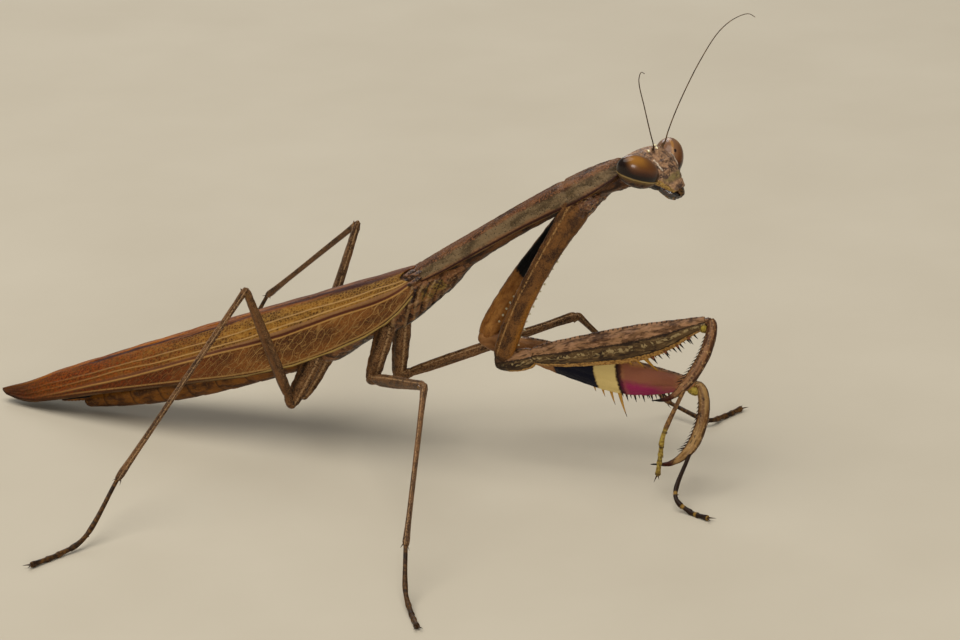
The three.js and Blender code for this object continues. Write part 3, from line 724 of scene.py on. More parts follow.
def wing_blade(
    name, table, side, relief, thickness, lift=0.0, inner_edge=-0.35, columns=270, rows=96, root=0.9,
):
    """A thin curved wing. Its places behind and across are kept in millimetres for its material."""
    begin()
    bpy.ops.mesh.primitive_grid_add(x_subdivisions=columns, y_subdivisions=rows, size=2)
    piece = bpy.context.object
    piece.name = piece.data.name = name
    flat = points_of(piece)
    order = np.lexsort((flat[:, 1], flat[:, 0]))
    t = (flat[order, 0].reshape(columns + 1, -1) + 1) / 2
    across = (flat[order, 1].reshape(columns + 1, -1) + 1) / 2
    behind = table[0, 0] + (table[-1, 0] - table[0, 0]) * t
    behind = behind + root * np.sin(np.pi * np.clip((across - 0.15) / 0.7, 0, 1)) ** 2 * (1 - t) ** 9
    bare = wing_spots(table, side, behind, across, lift, inner_edge)
    steps = np.linalg.norm(np.diff(bare, axis=1), axis=2)
    arc = np.concatenate([np.zeros((len(t), 1)), np.cumsum(steps, axis=1)], axis=1)

    def from_vein(vein):
        places = flow(behind[:, 0], VEIN_PLACES, vein)
        at = np.array([np.interp(p, a, r) for p, a, r in zip(places, across, arc)])
        return arc - at[:, None]

    veins = [from_vein(vein) for vein in (MEDIAN_VEIN, CUBITAL_VEIN, RADIAL_VEIN, COSTAL_VEIN)]
    fade = np.minimum(1, t * 12) * np.minimum(1, (1 - t) * 8)
    spots = wing_spots(table, side, behind, across, lift + relief(behind, across, veins) * fade, inner_edge)
    for name, layers in (
        ("rest", (behind, arc, veins[3])), ("veins", veins[:3]), ("wrap", (t, across, arc[:, -1:] - arc)),
    ):
        kept = np.empty((len(flat), 3))
        kept[order] = np.stack(layers, axis=2).reshape(-1, 3)
        keep(piece, name, kept)
    placed = np.empty((len(flat), 3))
    placed[order] = metres(spots).reshape(-1, 3)
    set_points(piece, placed)
    if sum(face.normal.z for face in piece.data.polygons) < 0:
        bpy.ops.object.mode_set(mode="EDIT")
        bpy.ops.mesh.select_all(action="SELECT")
        bpy.ops.mesh.flip_normals()
        bpy.ops.object.mode_set(mode="OBJECT")
    apply(piece, "SOLIDIFY", thickness=thickness / 1000, offset=-1)
    bpy.ops.object.shade_smooth()
    return piece


def forewing_relief(behind, across, veins):
    median, cubital, radial, costal = veins
    ridges = 0.035 * bulge(median, 0.06) + 0.035 * bulge(cubital, 0.06)
    ridges += 0.09 * bulge(radial - 0.08, 0.14) - 0.07 * bulge(costal + 0.14, 0.09)
    ridges += 0.05 * bulge(costal, 0.06)
    waves = 0.025 * np.sin(behind * 1.9 + across * 6) * np.sin(across * 9 + behind * 0.7)
    return ridges + waves


def hindwing_relief(behind, across, veins):
    return 0.03 * np.sin(across * 60)


leather = Finish("tegmen_leather", Specular_IOR_Level=0.12)
rest, wrap, veins = leather.attributes("rest", "wrap", "veins")
behind, arc, costal = rest.parts()
t, across, to_rim = wrap.parts()
median, cubital, radial = veins.parts()
patch = rest.stretch((0.3, 1.1, 0)).noise(0.9, 4, 0.6)
speck = rest.noise(5, 3)
wander = rest.noise(1.6, 2)
flat = leather.node(
    "ShaderNodeCombineXYZ", {}, {"X": behind + (wander - 0.5) * 0.3, "Y": arc + (wander - 0.5) * 0.3}
)
# The field behind the double vein: ochre, a net of short cells between gold veins, some of them dark.
disc_cell = flat.stretch((4.6, 6.0, 0))
disc = leather.blend(patch.rise(0.35, 0.65), "553613", "85591c")
disc_net = disc_cell.cells(1.0, "DISTANCE_TO_EDGE", 0.6).rise(0.12, 0.04)
disc = leather.blend(disc_net * 0.55, disc, "a37c38")
holes = disc_cell.cells(1.0, "F1", 0.6).rise(0.42, 0.2) * speck.rise(0.44, 0.52)
disc = leather.blend(holes * 0.8, disc, "28140a")
# The field in front of it: brown, crossed by slanting, forking gold veins with a finer net between.
slant = flat.stretch((1, 1, 0), (0, 0, math.radians(-32))).stretch((1.5, 4.0, 0))
bend = flat.stretch((0.7, 0.7, 0)).noise(1.0, 1) - 0.5
branch_way = flat.stretch((1, 1, 0), (0, 0, math.radians(-32))).part("Y") + bend * 0.9
spacing = branch_way.to_and_fro(0.24)
branches = spacing.rise(0.032, 0.01)
links = slant.cells(1.0, "DISTANCE_TO_EDGE", 0.6).rise(0.05, 0.015)
fine = flat.stretch((6, 6.5, 0)).cells(1.0, "DISTANCE_TO_EDGE").rise(0.1, 0.03)
front = leather.blend(patch.rise(0.35, 0.65), "42230e", "6e4119")
front = leather.blend(fine * 0.45, front, "7a5426")
front = leather.blend(speck.rise(0.58, 0.66) * 0.5, front, "1f0f08")
front = leather.blend(links * 0.6, front, "94703e")
front = leather.blend(branches * 0.62, front, "a8824c")
in_front = costal.rise(-0.03, 0.03)
leather.base(in_front, disc, front)
warm = t.rise(0.3, 0.8)
leather.over(warm * 0.78, leather.blend(speck.rise(0.4, 0.65), "4a1900", "7a2f02"))
leather.over(warm * in_front * 0.35, "381404")
# The back of the pair: purple-brown streaks, then an orange stripe along the seam.
streak = rest.stretch((0.1, 1.5, 0)).noise(1.3, 4, 0.6)
back = (across + (streak - 0.5) * 0.25).rise(0.42, 0.34)
leather.over(back, leather.blend(streak.rise(0.42, 0.58), "3a1c14", "7d4719"))
stripe = (across + (streak - 0.5) * 0.16).rise(0.25, 0.17)
seam_grain = (patch + (speck - 0.5) * 0.6).rise(0.38, 0.62)
seam = leather.blend(
    t.rise(0.25, 0.5),
    leather.blend(seam_grain, "5a3420", "85583a"),
    leather.blend(seam_grain, "6a3208", "9c5a10"),
)
leather.over(stripe * 0.9, seam)
lines = abs(median).rise(0.075, 0.03) * 0.9 + abs(cubital).rise(0.075, 0.03)
fade = t.rise(0.95, 0.7)
leather.over(lines * (0.9 - warm * 0.5) * fade, "ac8650")
# Painted light on the double vein: a paler band on the lit side of the raised radial vein, and painted shade
# as a dark red-brown band in the groove by the costal vein.
leather.over(radial.within(-0.1, 0.26, 0.05) * (0.8 - warm * 0.5) * fade, "805b39")
leather.over(costal.within(-0.23, -0.07, 0.04) * (0.9 - warm * 0.4) * fade, "4a2014")
leather.over(abs(costal).rise(0.07, 0.03) * 0.85 * fade, "a07840")
leather.over(to_rim.within(0.2, 0.29, 0.03) * 0.85 * fade, "8f6d3c")
leather.over(to_rim.rise(0.19, 0.15) * 0.85, "3a2410")
tip = (t + (streak - 0.5) * 0.06).rise(0.86, 0.97)
leather.over(tip * 0.75, leather.blend(streak.rise(0.4, 0.6), "24120a", "4a2c14"))
relief = (
    (branches * 0.6 + links * 0.3 + fine * 0.2) * in_front + lines * 0.5 + speck * 0.2
    + disc_net * (1 - in_front) * (0.3 - warm * 0.22)
)
tegmen_paint = leather.show(0.46 + speck * 0.15, relief, 0.00006)

rim_paint = Finish("wing_rim")
grain = rim_paint.attributes("rest")[0].stretch((0.3, 1, 1)).noise(3, 3)
rim_paint.base(grain, "6b5428", "a08448")
rim_paint.over(rim_paint.attributes("wrap")[0].part("Z").rise(0.25, 0.55) * 0.9, "3c2212")
rim_material = rim_paint.show(grain * 0.2 + 0.35, grain, 0.00004)

membrane = Finish("hindwing_membrane")
streaks = membrane.attributes("rest")[0].stretch((0.15, 4, 0)).noise(1.5, 3)
membrane.base(streaks.rise(0.38, 0.62), "140805", "3d1904")
membrane_material = membrane.show(streaks * 0.3 + 0.25, streaks, 0.00005)

for side_name, side in SIDES:
    fan = wing_blade(
        f"hindwing_fan_{side_name}", HINDWING, side, hindwing_relief, 0.10, lift=-0.30, inner_edge=0.05,
        columns=160, rows=60, root=0,
    )
    dress(fan, "hindwing", membrane_material, f"hindwing_{side_name}")
    blade = wing_blade(f"tegmen_blade_{side_name}", FOREWING, side, forewing_relief, 0.09)
    dress(blade, "tegmen", tegmen_paint, f"tegmen_{side_name}")
    places = np.linspace(WING_ROOT + 0.1, WING_TIP - 0.3, 60)
    rim_line = Line(wing_spots(FOREWING, side, places, np.full(60, 0.995), -0.03), trunk_up)
    rim = limb(
        f"tegmen_rim_{side_name}",
        [(0, 0.05, 0.05), (2, 0.08, 0.07), (16, 0.065, 0.06), (31, 0.04, 0.04)],
        rim_line, sides=8,
    )
    dress(rim, "tegmen", rim_material)


# ---- Head ----
# A hard triangular capsule, flat in front and bumpy like bark. The eyes, jaws, palps and feelers are
# separate parts set into it.

# [down from the eye line, half width, front, back]
CAPSULE = [
    (-1.2, 0.95, -0.75, -1.2), (-1.06, 1.4, -0.25, -1.35), (-0.8, 1.7, 0.25, -1.5),
    (-0.35, 1.85, 0.68, -1.68), (0.1, 1.85, 0.86, -1.68), (0.6, 1.72, 0.92, -1.5),
    (1.15, 1.4, 0.92, -1.2), (1.6, 1.05, 0.86, -0.85), (2.0, 0.82, 0.77, -0.5), (2.4, 0.62, 0.66, -0.2),
]

# Seams and ridges of the face: (start, end, width, lift), each end (down, turn from the front).
FACE_MARKS = [
    ((0.45, 0), (0.45, 34), 0.09, 0.05), ((0.15, 37), (1.0, 44), 0.07, 0.09),
    ((1.25, 0), (1.25, 46), 0.06, -0.07), ((1.8, 0), (1.8, 60), 0.06, -0.05),
    ((-0.9, 24), (0.2, 30), 0.07, -0.05), ((0.5, 60), (1.3, 76), 0.08, 0.06),
    ((-0.95, 0), (-0.7, 10), 0.42, 0.20), ((1.3, 0), (1.65, 0), 0.2, 0.04),
    ((1.2, 86), (2.3, 84), 0.10, 0.13), ((1.95, 0), (2.2, 0), 0.25, 0.04),
    ((1.3, 108), (2.3, 108), 0.12, -0.12), ((0.75, 12), (1.1, 26), 0.10, 0.05),
]
capsule_line = Line([in_head(-1.2, 0, 0), in_head(2.4, 0, 0)], FACE)
capsule = limb(
    "head_capsule", CAPSULE, capsule_line, marked(FACE_MARKS, 8), rough=0.10, grain=0.16, sides=18, levels=3,
)
faceplate = Finish("head_chitin", Specular_IOR_Level=0.4)
rest, wrap = faceplate.attributes("rest", "wrap")
down, turn = rest.part("X"), abs(wrap.part("Y"))
cloud = rest.noise(2.4, 4, 0.5)
speck = rest.noise(10, 3)
wrinkle = rest.stretch((1, 1.3, 1.3)).cells(9, "DISTANCE_TO_EDGE")
faceplate.base(cloud.rise(0.38, 0.6), "4a3226", "9c7656")
faceplate.over(speck.rise(0.5, 0.66) * 0.6, "c8a076")
faceplate.over(wrinkle.rise(0.1, 0.0) * cloud.rise(0.6, 0.4) * 0.8, "1c0f0a")
olive = down.within(1.35, 1.8, 0.15) * turn.rise(80, 50) * cloud.rise(0.4, 0.55)
faceplate.over(olive * 0.7, "6e6630")
# Painted highlight: a broken pale glint line along the raised ridge beside each eye.
ridge = down.within(0.1, 0.95, 0.06) * (turn - down * 6).within(34, 38.5, 1.5)
faceplate.over(ridge * speck.rise(0.36, 0.5) * 0.9, "e2d0b8")
golden = down.rise(1.15, 1.4) * (turn + (cloud - 0.5) * 14).within(75, 100, 5)
faceplate.over(golden, faceplate.blend(speck.rise(0.35, 0.6), "6b4e1e", "a88440"))
faceplate.over(turn.rise(99, 108), "140b09")
pores = wrinkle * 0.5 + speck * 0.5 + cloud * 0.6
dress(capsule, "head", faceplate.show(0.55 - speck.rise(0.5, 0.66) * 0.36, pores, 0.0001), "head")

# Each eye is a smooth clear oval over thousands of fine facets. Its rear half is wrapped by the cheek,
# whose edge is a raised pale line. Places on an eye are along it, to the front, and towards the head.
EYE_MIDDLE, EYE_SPACING = (0.17, -0.18), 2.175
EYE_RADII = (1.48, 1.06, 0.82)
RIM_WAY, RIM_AT = unit((-0.39, 0.84, 0.25)), -0.19


def ball(name, segments, rings, radii, middle, axes, shape=None, pole=(0, 0, 1)):
    """A rounded body of given half sizes, shaped in its own axes and set into place."""
    begin()
    bpy.ops.mesh.primitive_uv_sphere_add(segments=segments, ring_count=rings, radius=1)
    piece = bpy.context.object
    piece.name = piece.data.name = name
    turned = Vector((0, 0, 1)).rotation_difference(Vector(pole)).to_matrix()
    spots = points_of(piece) @ np.array(turned).T
    keep(piece, "rest", spots.copy())
    if shape is not None:
        spots = shape(spots)
    spots = spots * radii
    set_points(piece, metres(middle + spots @ np.asarray(axes, float)))
    bpy.ops.object.mode_set(mode="EDIT")
    bpy.ops.mesh.select_all(action="SELECT")
    bpy.ops.mesh.normals_make_consistent(inside=False)
    bpy.ops.object.mode_set(mode="OBJECT")
    bpy.ops.object.shade_smooth()
    return piece


def eye_axes(side):
    """The long and forward directions of an eye, and the one towards the head, in the animal's frame."""
    head = np.stack([MOUTHWARD, FACE, HEAD_LEFT])
    long, front = unit((0.694, 0.022, -0.72 * side)), unit((-0.046, 0.999, -0.013 * side))
    inward = np.cross(long, front) * -side
    return unit(long @ head), unit(front @ head), unit(inward @ head)


def cheek_form(spots):
    above = spots @ RIM_WAY - RIM_AT
    step = 1 / (1 + np.exp(above / 0.018))
    brow = 0.025 * bulge(above + 0.07, 0.045)
    pits = 0.012 * np.sin(spots[:, 0] * 17) * np.sin(spots[:, 2] * 19)
    return spots * (0.93 + (0.08 + brow + pits) * step)[:, None]


glass = Finish("eye_facets", Specular_IOR_Level=0.2, Coat_Weight=0.22, Coat_Roughness=0.07)
rest = glass.attributes("rest")[0]
along, forward, inward = rest.parts()


def eye_measure(finish, operation, place):
    sockets = {0: finish.attributes("rest")[0], 1: tuple(float(v) for v in place)}
    return finish.node("ShaderNodeVectorMath", {"operation": operation}, sockets, "Value")


cloud = rest.noise(2.0, 3, 0.3)
above = eye_measure(glass, "DOT_PRODUCT", RIM_WAY) - RIM_AT + (cloud - 0.5) * 0.2
glass.colour = above.ramp(
    (0.0, "080405"), (0.2, "150a09"), (0.4, "3c1e0f"), (0.62, "633a1a"), (1.0, "6d441f")
)
glow = (eye_measure(glass, "DISTANCE", (-0.6, 0.75, -0.2)) + (cloud - 0.5) * 0.3).rise(0.75, 0.1)
glass.over(glow, "9c6a2a")
glass.over((inward + (cloud - 0.5) * 0.2).rise(-0.05, 0.45) * above.rise(0.2, 0.6), "7c573a")
glass.over((along + above * 0.5).rise(-0.3, -0.65), "180c08")
streak = (inward + (cloud - 0.5) * 0.2).within(0.5, 0.64, 0.06) * above.rise(0.2, 0.5)
glass.over(streak * 0.7, "b07c38")
pupil = (eye_measure(glass, "DISTANCE", (0.25, 0.88, 0.4)) + (cloud - 0.5) * 0.08).rise(0.13, 0.07)
glass.over(pupil, "1a0c08")
facets = rest.cells(34)
glass.over(facets * 0.25, "140a06")
glass_material = glass.show(facets * 0.1 + 0.22)

cheek = Finish("cheek_chitin")
rest = cheek.attributes("rest")[0]
cloud, speck = rest.noise(2.5, 4, 0.3), rest.noise(9, 3)
above = eye_measure(cheek, "DOT_PRODUCT", RIM_WAY) - RIM_AT
cheek.base(cloud.rise(0.4, 0.62), "1f110c", "4a2d1c")
cheek.over(above.rise(-0.42, -0.2), cheek.blend(speck, "3d2b18", "6d5430"))
cheek.over((above + (cloud - 0.5) * 0.05).within(-0.135, -0.055, 0.02), "8c7648")
cheek.over(above.rise(-0.04, -0.02), "0d0706")
cheek_material = cheek.show(speck * 0.2 + 0.28, cloud + speck * 0.4, 0.00006)
for side_name, side in SIDES:
    axes = eye_axes(side)
    middle = in_head(*EYE_MIDDLE, EYE_SPACING * side)
    eye = ball(f"eye_dome_{side_name}", 64, 48, EYE_RADII, middle, axes)
    dress(eye, "eye", glass_material, f"eye_{side_name}")
    socket = ball(f"eye_socket_{side_name}", 72, 90, EYE_RADII, middle, axes, cheek_form, RIM_WAY)
    dress(socket, "head", cheek_material)

# Three simple eyes stand in a triangle between the feelers.
SIMPLE_EYES = {"middle": (-0.5, 0.66, 0.0), "left": (-0.72, 0.5, 0.34), "right": (-0.553, 0.56, -0.9)}
for name, place in SIMPLE_EYES.items():
    bead = ball(f"ocellus_{name}", 24, 16, (0.10, 0.10, 0.09), in_head(*place), FACE_AXES)
    amber = Finish(f"ocellus_{name}", Roughness=0.15, Coat_Weight=0.6, Specular_IOR_Level=0.5)
    depth = amber.attributes("rest")[0].part("Z")
    amber.base(depth.rise(-0.2, 0.8), "b8a468", "f2e8c0")
    dress(bead, "head", amber.show())

# Mouth: a short lip over two shut black jaws, with small jointed palps tucked behind them.
lip = limb(
    "labrum",
    [(0, 0.36, 0.14, -0.12), (0.25, 0.36, 0.15, -0.14), (0.5, 0.28, 0.1, -0.12), (0.6, 0.12, 0.05, -0.08)],
    Line([in_head(2.25, 0.42, 0), in_head(2.82, 0.28, 0)], FACE), rough=0.03, grain=0.2, levels=3,
)


def grained(name, scale, limits, dark, pale, rough, depth=None, gloss=0.2, **constants):
    """A finish of two colours in one grain, which also roughens it."""
    plain = Finish(name, **constants)
    grain = plain.attributes("rest")[0].noise(scale, 3)
    plain.base(grain.rise(*limits), dark, pale)
    return plain.show(grain * gloss + rough, *((grain, depth) if depth else ()))


lip_material = grained("lip_chitin", 7, (0.42, 0.6), "1c100a", "5c4020", 0.15, 0.00005)
dress(lip, "head", lip_material)
jaw_material = grained(
    "jaw_chitin", 4, (0.45, 0.62), "0c0706", "3a1c12", 0.12, 0.00012, 0.15,
    Specular_IOR_Level=0.7, Coat_Weight=0.6, Coat_Roughness=0.05,
)
palp_material = grained("palp_skin", 4, (0.4, 0.6), "25150d", "7a5a30", 0.3)
PALP_BEADS = ((0, 1), (0.4, 1.2), (0.5, 0.8), (1.0, 1.15), (1.1, 0.75), (1.5, 1), (1.6, 0.3))
PALPS = (  # (root, bend, tip, half width), places down, to the front and out
    ((1.6, -0.5, 0.72), (2.2, -0.38, 0.62), (2.7, 0.0, 0.42), 0.07),
    ((1.8, -0.6, 0.35), (2.35, -0.48, 0.35), (2.75, -0.2, 0.2), 0.06),
)
JAW_BEND = ((1.55, -0.3, 0.66), (2.2, -0.15, 0.45), (2.78, 0.08, 0.12))

for side_name, side in SIDES:
    jaw = limb(
        f"mandible_{side_name}",
        [(0, 0.24, 0.3), (0.5, 0.3, 0.34), (1.0, 0.26, 0.3), (1.35, 0.1, 0.12)],
        Line([in_head(d, f, side * l) for d, f, l in JAW_BEND], FACE),
        rough=0.05, grain=0.2, levels=3,
    )
    dress(jaw, "mouth", jaw_material, *(["mouthparts"] if side > 0 else []))
    for count, (root, bend, tip, thick) in enumerate(PALPS):
        line = Line([in_head(d, f, side * l) for d, f, l in (root, bend, tip)], FACE)
        palp = limb(
            f"palp_{side_name}_{count}",
            [(place, thick * swell) for place, swell in PALP_BEADS], line, sides=8,
        )
        dress(palp, "mouth", palp_material)
back_mouth = limb(
    "labium", [(0, 0.4, 0.3), (0.6, 0.5, 0.3), (1.1, 0.38, 0.25), (1.3, 0.15, 0.1)],
    Line([in_head(1.5, -0.4, 0), in_head(2.2, -0.35, 0), in_head(2.72, -0.12, 0)], FACE),
    rough=0.05, grain=0.3, levels=3,
)
dress(back_mouth, "mouth", jaw_material)

# Feelers: a first joint, a bead, and a thread of a hundred short rings.
# [down, front, out] of each, as they are held.
FEELERS = {
    "left": [
        (-0.47, 0.68, 0.62), (-0.6, 1.05, 0.75), (-0.87, 1.3, 0.95), (-1.7, 2.15, 1.79),
        (-2.69, 3.3, 2.98), (-3.58, 4.51, 4.13), (-4.42, 5.96, 5.51), (-4.58, 6.9, 6.43),
        (-4.34, 7.59, 7.11), (-3.95, 7.7, 7.35),
    ],
    "right": [
        (-0.47, 0.68, 0.62), (-0.55, 1.0, 0.9), (-1.27, 2.05, 2.16), (-2.53, 3.6, 3.84),
        (-3.42, 5.0, 5.57), (-3.68, 5.59, 6.24), (-3.79, 6.39, 7.06), (-3.54, 6.74, 7.52),
    ],
}
thread = Finish("feeler_chitin")
rest = thread.attributes("rest")[0]
rings = rest.part("X").to_and_fro(0.06)
shade = rest.noise(2, 2)
thread.base(shade.rise(0.4, 0.6), "2c1c10", "5a4022")
thread.over(rings.rise(0.02, 0.006) * 0.6, "170e08")
thread_material = thread.show(shade * 0.2 + 0.4, rings, 0.00004)


def dished(spots):
    hollow = 0.5 * np.exp(-(spots[:, 0] ** 2 + spots[:, 1] ** 2) / 0.2)
    return spots - hollow[:, None] * (0, 0, 1)


for side_name, side in SIDES:
    line = Line([in_head(d, f, side * o) for d, f, o in FEELERS[side_name]], MOUTHWARD * -1)
    far = line.length
    feeler = limb(
        f"feeler_{side_name}",
        [(0, 0.08), (0.25, 0.085), (0.36, 0.05), (0.5, 0.06), (0.58, 0.04), (1.2, 0.036),
         (far * 0.5, 0.034), (far * 0.8, 0.03), (far, 0.02)],
        line, sides=8, levels=3,
    )
    dress(feeler, "antenna", thread_material, f"antenna_{side_name}")
    socket = ball(
        f"feeler_socket_{side_name}", 32, 16, (0.15, 0.15, 0.08), in_head(-0.42, 0.68, side * 0.62),
        FACE_AXES, dished,
    )
    dress(socket, "head", faceplate.material)


# ---- Forelegs ----
# Catching legs: a long three-edged coxa, a small trochanter, a deep flattened femur with rows of
# black-tipped spines, and a toothed tibia that shuts against it and ends in a claw.


def seat(line, share, side, height, way, length, thick, bend=1):
    """A thorn's seat at a share of a line. way is how far it leans ahead, to the left and up."""
    centre, ahead, left, up = line.frame(share * line.length)[:, 0]
    return centre + left * side + up * height, np.array(way) @ (ahead, left, up), ahead * bend, length, thick


def toward(start, end, distance):
    start, end = np.asarray(start, float), np.asarray(end, float)
    return start + unit(end - start) * distance


def square_to(direction, axis):
    direction = np.asarray(direction, float)
    return unit(direction - direction @ axis * axis)


THORN = ((0, 1), (0.12, 0.86), (0.55, 0.45), (1, 0.07))  # [along, half width]
thorn = tube("thorn", [(along, half, half, -half) for along, half in THORN], 6, 1)
THORN_SPOTS = points_of(thorn)
THORN_FACES = [tuple(face.vertices) for face in thorn.data.polygons]
bpy.ops.object.delete()


def thorns(name, seats):
    """Copies of one thorn in one mesh. A seat is (root, direction, side it bends to, length, half width)."""
    spots, rest, faces = [], [], []
    for root, direction, bend, length, thick in seats:
        ahead = unit(direction)
        over = square_to(bend, ahead)
        sideways = np.cross(over, ahead)
        x, y, z = THORN_SPOTS.T
        faces += [tuple(i + len(spots) * len(x) for i in face) for face in THORN_FACES]
        spots.append(
            root + np.outer(x * length, ahead) + np.outer(y * thick, sideways)
            + np.outer(z * thick + 0.10 * length * x * x, over)
        )
        rest.append(np.stack([x, y, z], axis=1))
    begin()
    mesh = bpy.data.meshes.new(name)
    mesh.from_pydata([tuple(p) for p in metres(np.concatenate(spots))], [], faces)
    piece = bpy.data.objects.new(name, mesh)
    bpy.context.scene.collection.objects.link(piece)
    keep(piece, "rest", np.concatenate(rest))
    bpy.context.view_layer.objects.active = piece
    piece.select_set(True)
    bpy.ops.object.shade_smooth()
    return piece


def thorn_paint(name, base, tip, start):
    horn = Finish(name)
    share = horn.attributes("rest")[0].part("X")
    grain = horn.attributes("rest")[0].noise(3, 2)
    horn.base((share + (grain - 0.5) * 0.2).rise(start, start + 0.2), base, tip)
    return horn.show(grain * 0.15 + 0.2)


black_tipped = thorn_paint("spine_black_tipped", "6b3c20", "0f0806", 0.22)
pale_spine = thorn_paint("spine_pale", "a37729", "251107", 0.72)
pearl = thorn_paint("spine_pearl", "bfb592", "d4cdb3", 0.5)
comb_paint = thorn_paint("tibia_comb", "3c1c12", "0c0605", 0.1)
claw_paint = thorn_paint("foot_claw", "3c2612", "120a06", 0.5)

# Outer faces are mottled brown; the inner faces carry the bands shown as a threat.
coxa_paint = Finish("fore_coxa_chitin")
rest, wrap = coxa_paint.attributes("rest", "wrap")
x, y = rest.part("X"), rest.part("Y")
turn = wrap.part("Y")
cloud = rest.stretch((0.5, 1, 1)).noise(1.8, 4, 0.5)
speck = rest.noise(7, 3)
cell = rest.stretch((6.5, 11, 11))
holes = cell.cells(1.0).rise(0.42, 0.2)
net = cell.cells(1.0, "DISTANCE_TO_EDGE").rise(0.1, 0.03)
coxa_paint.base(cloud.rise(0.38, 0.62), "3a2212", "67421f")
coxa_paint.over(net * 0.35, "8a6338")
coxa_paint.over(holes * cloud.rise(0.62, 0.42) * 0.75, "1d1009")
amber = x.within(6.5, 11.5, 1.5) * abs(turn).rise(95, 140)
coxa_paint.over(amber * 0.75, coxa_paint.blend(holes * 0.6, "9a6420", "3a200e"))
coxa_paint.over(abs(turn).within(42, 50, 4) * speck.rise(0.36, 0.55) * 0.75, "a8804e")
squiggle = rest.noise(4.5, 1, 1.5)
coxa_paint.over(squiggle.within(0.49, 0.53, 0.012) * 0.7, "1d1009")
inside = y.rise(0.1, 0.26)
plain = coxa_paint.blend(cloud.rise(0.3, 0.7), "7a4a20", "a8743a")
plain = coxa_paint.blend(speck.rise(0.5, 0.68) * 0.35, plain, "3f220f")
coxa_paint.over(inside, plain)
black = (x + (speck - 0.5) * 0.4).within(1.2, 7.5, 0.12)
coxa_paint.over(inside * black, "030305")
coxa_paint.over(wrap.part("Z").rise(0.93, 0.98) * (1 - inside) * 0.8, "160c08")
coxa_material = coxa_paint.show(cloud * 0.2 + 0.32, speck * 0.5 + cloud * 0.6, 0.00007)

femur_paint = Finish("fore_femur_chitin")
rest, wrap = femur_paint.attributes("rest", "wrap")
x, y, z = rest.parts()
cloud = rest.stretch((0.5, 1, 1)).noise(1.7, 4, 0.6)
speck = rest.noise(6, 3)
streak = rest.stretch((0.45, 1.6, 1.6)).noise(3.4, 3, 0.8)
turn = abs(wrap.part("Y")) + (speck - 0.5) * 14
# Above, pinkish bark-like mottling with a row of dark dots along the keel.
femur_paint.base(cloud.rise(0.36, 0.62), "4e3420", "8a6646")
femur_paint.over(streak.rise(0.5, 0.62) * 0.55, "a57c5c")
femur_paint.over(streak.rise(0.44, 0.36) * 0.7, "301c11")
dots = x.to_and_fro(0.16)
femur_paint.over(turn.rise(16, 8) * dots.rise(0.06, 0.03) * 0.9, "140a07")
# The outer face is darker, edged by dark lines, with a broken row of whitish flecks.
face = femur_paint.blend(cloud.rise(0.38, 0.62), "2a1c12", "554026")
face = femur_paint.blend(streak.rise(0.54, 0.64) * 0.6, face, "7d6440")
fleck = turn.within(84, 101, 4) * rest.noise(4.2, 2, 0.5).rise(0.5, 0.56)
face = femur_paint.blend(fleck * 0.65, face, "a89266")
femur_paint.over(turn.rise(68, 74), face)
femur_paint.over(turn.within(68, 76, 2) * 0.8, "1a0f09")
# Below, an ochre band with fine dark dots.
below = femur_paint.blend(speck.rise(0.36, 0.6), "7a5424", "a98044")
below = femur_paint.blend(rest.cells(5).rise(0.3, 0.16) * 0.8, below, "2a170c")
femur_paint.over(turn.rise(127, 131), below)
femur_paint.over(turn.within(124, 130, 2) * 0.8, "1a0f09")
ends = x.rise(1.0, 0.55) + x.rise(13.9, 14.3)
femur_paint.over(ends * 0.8, "1c100a")
inside = y.rise(0.1, 0.26)
plain = femur_paint.blend(cloud.rise(0.3, 0.7), "6d4524", "9a6c40")
slant = x + z * 0.28 + (speck - 0.5) * 0.25
depth = (z + (cloud - 0.5) * 0.3).rise(0.55, 0.3)
inner = plain
inner = femur_paint.blend(slant.within(4.7, 7.6, 0.1) * depth, inner, "020417")
inner = femur_paint.blend(slant.within(7.6, 9.1, 0.1) * depth, inner, "c8b070")
inner = femur_paint.blend(slant.within(9.1, 9.5, 0.1) * depth, inner, "0a0406")
magenta = slant.within(9.5, 13.2, 0.4) * depth
inner = femur_paint.blend(
    magenta, inner, femur_paint.blend((z + (cloud - 0.5)).rise(-0.2, -1.1), "84503a", "86204a"),
)
inner = femur_paint.blend(slant.rise(9.1, 9.4) * turn.rise(152, 162), inner, "160a08")
femur_paint.over(inside, inner)
femur_material = femur_paint.show(cloud * 0.2 + 0.3, speck * 0.5 + cloud * 0.6, 0.00008)


def shin_finish(name, dark, pale):
    shin_paint = Finish(name)
    rest, wrap = shin_paint.attributes("rest", "wrap")
    share, turn = wrap.part("Z"), wrap.part("Y")
    cloud = rest.stretch((0.16, 1.4, 1.4)).noise(3.0, 3, 0.3)
    speck = rest.noise(7, 3)
    shin_paint.base(cloud.rise(0.36, 0.62), dark, pale)
    shin_paint.over(rest.stretch((0.5, 2, 2)).noise(2.6, 2, 0.5).rise(0.56, 0.64) * 0.7, "24140c")
    shin_paint.over(abs(turn).rise(112, 140) * 0.6, "3a1a12")
    shin_paint.over(abs(turn).rise(42, 18) * 0.7, "2c180e")
    shin_paint.over(speck.rise(0.54, 0.66) * 0.5, "b08c5c")
    shin_paint.over(share.rise(0.76, 0.84), "341004")
    shin_paint.over(share.rise(0.86, 0.93), "0a0504")
    return shin_paint.show(cloud * 0.2 + 0.28, speck * 0.5 + cloud * 0.5, 0.00006)


shin_materials = {
    "right": shin_finish("fore_tibia_chitin_right", "462a18", "7c5636"),
    "left": shin_finish("fore_tibia_chitin_left", "6a4826", "9c7a4a"),
}

skin_material = grained("joint_skin", 4, (0.35, 0.65), "6a5618", "a08a38", 0.3, 0.00005)

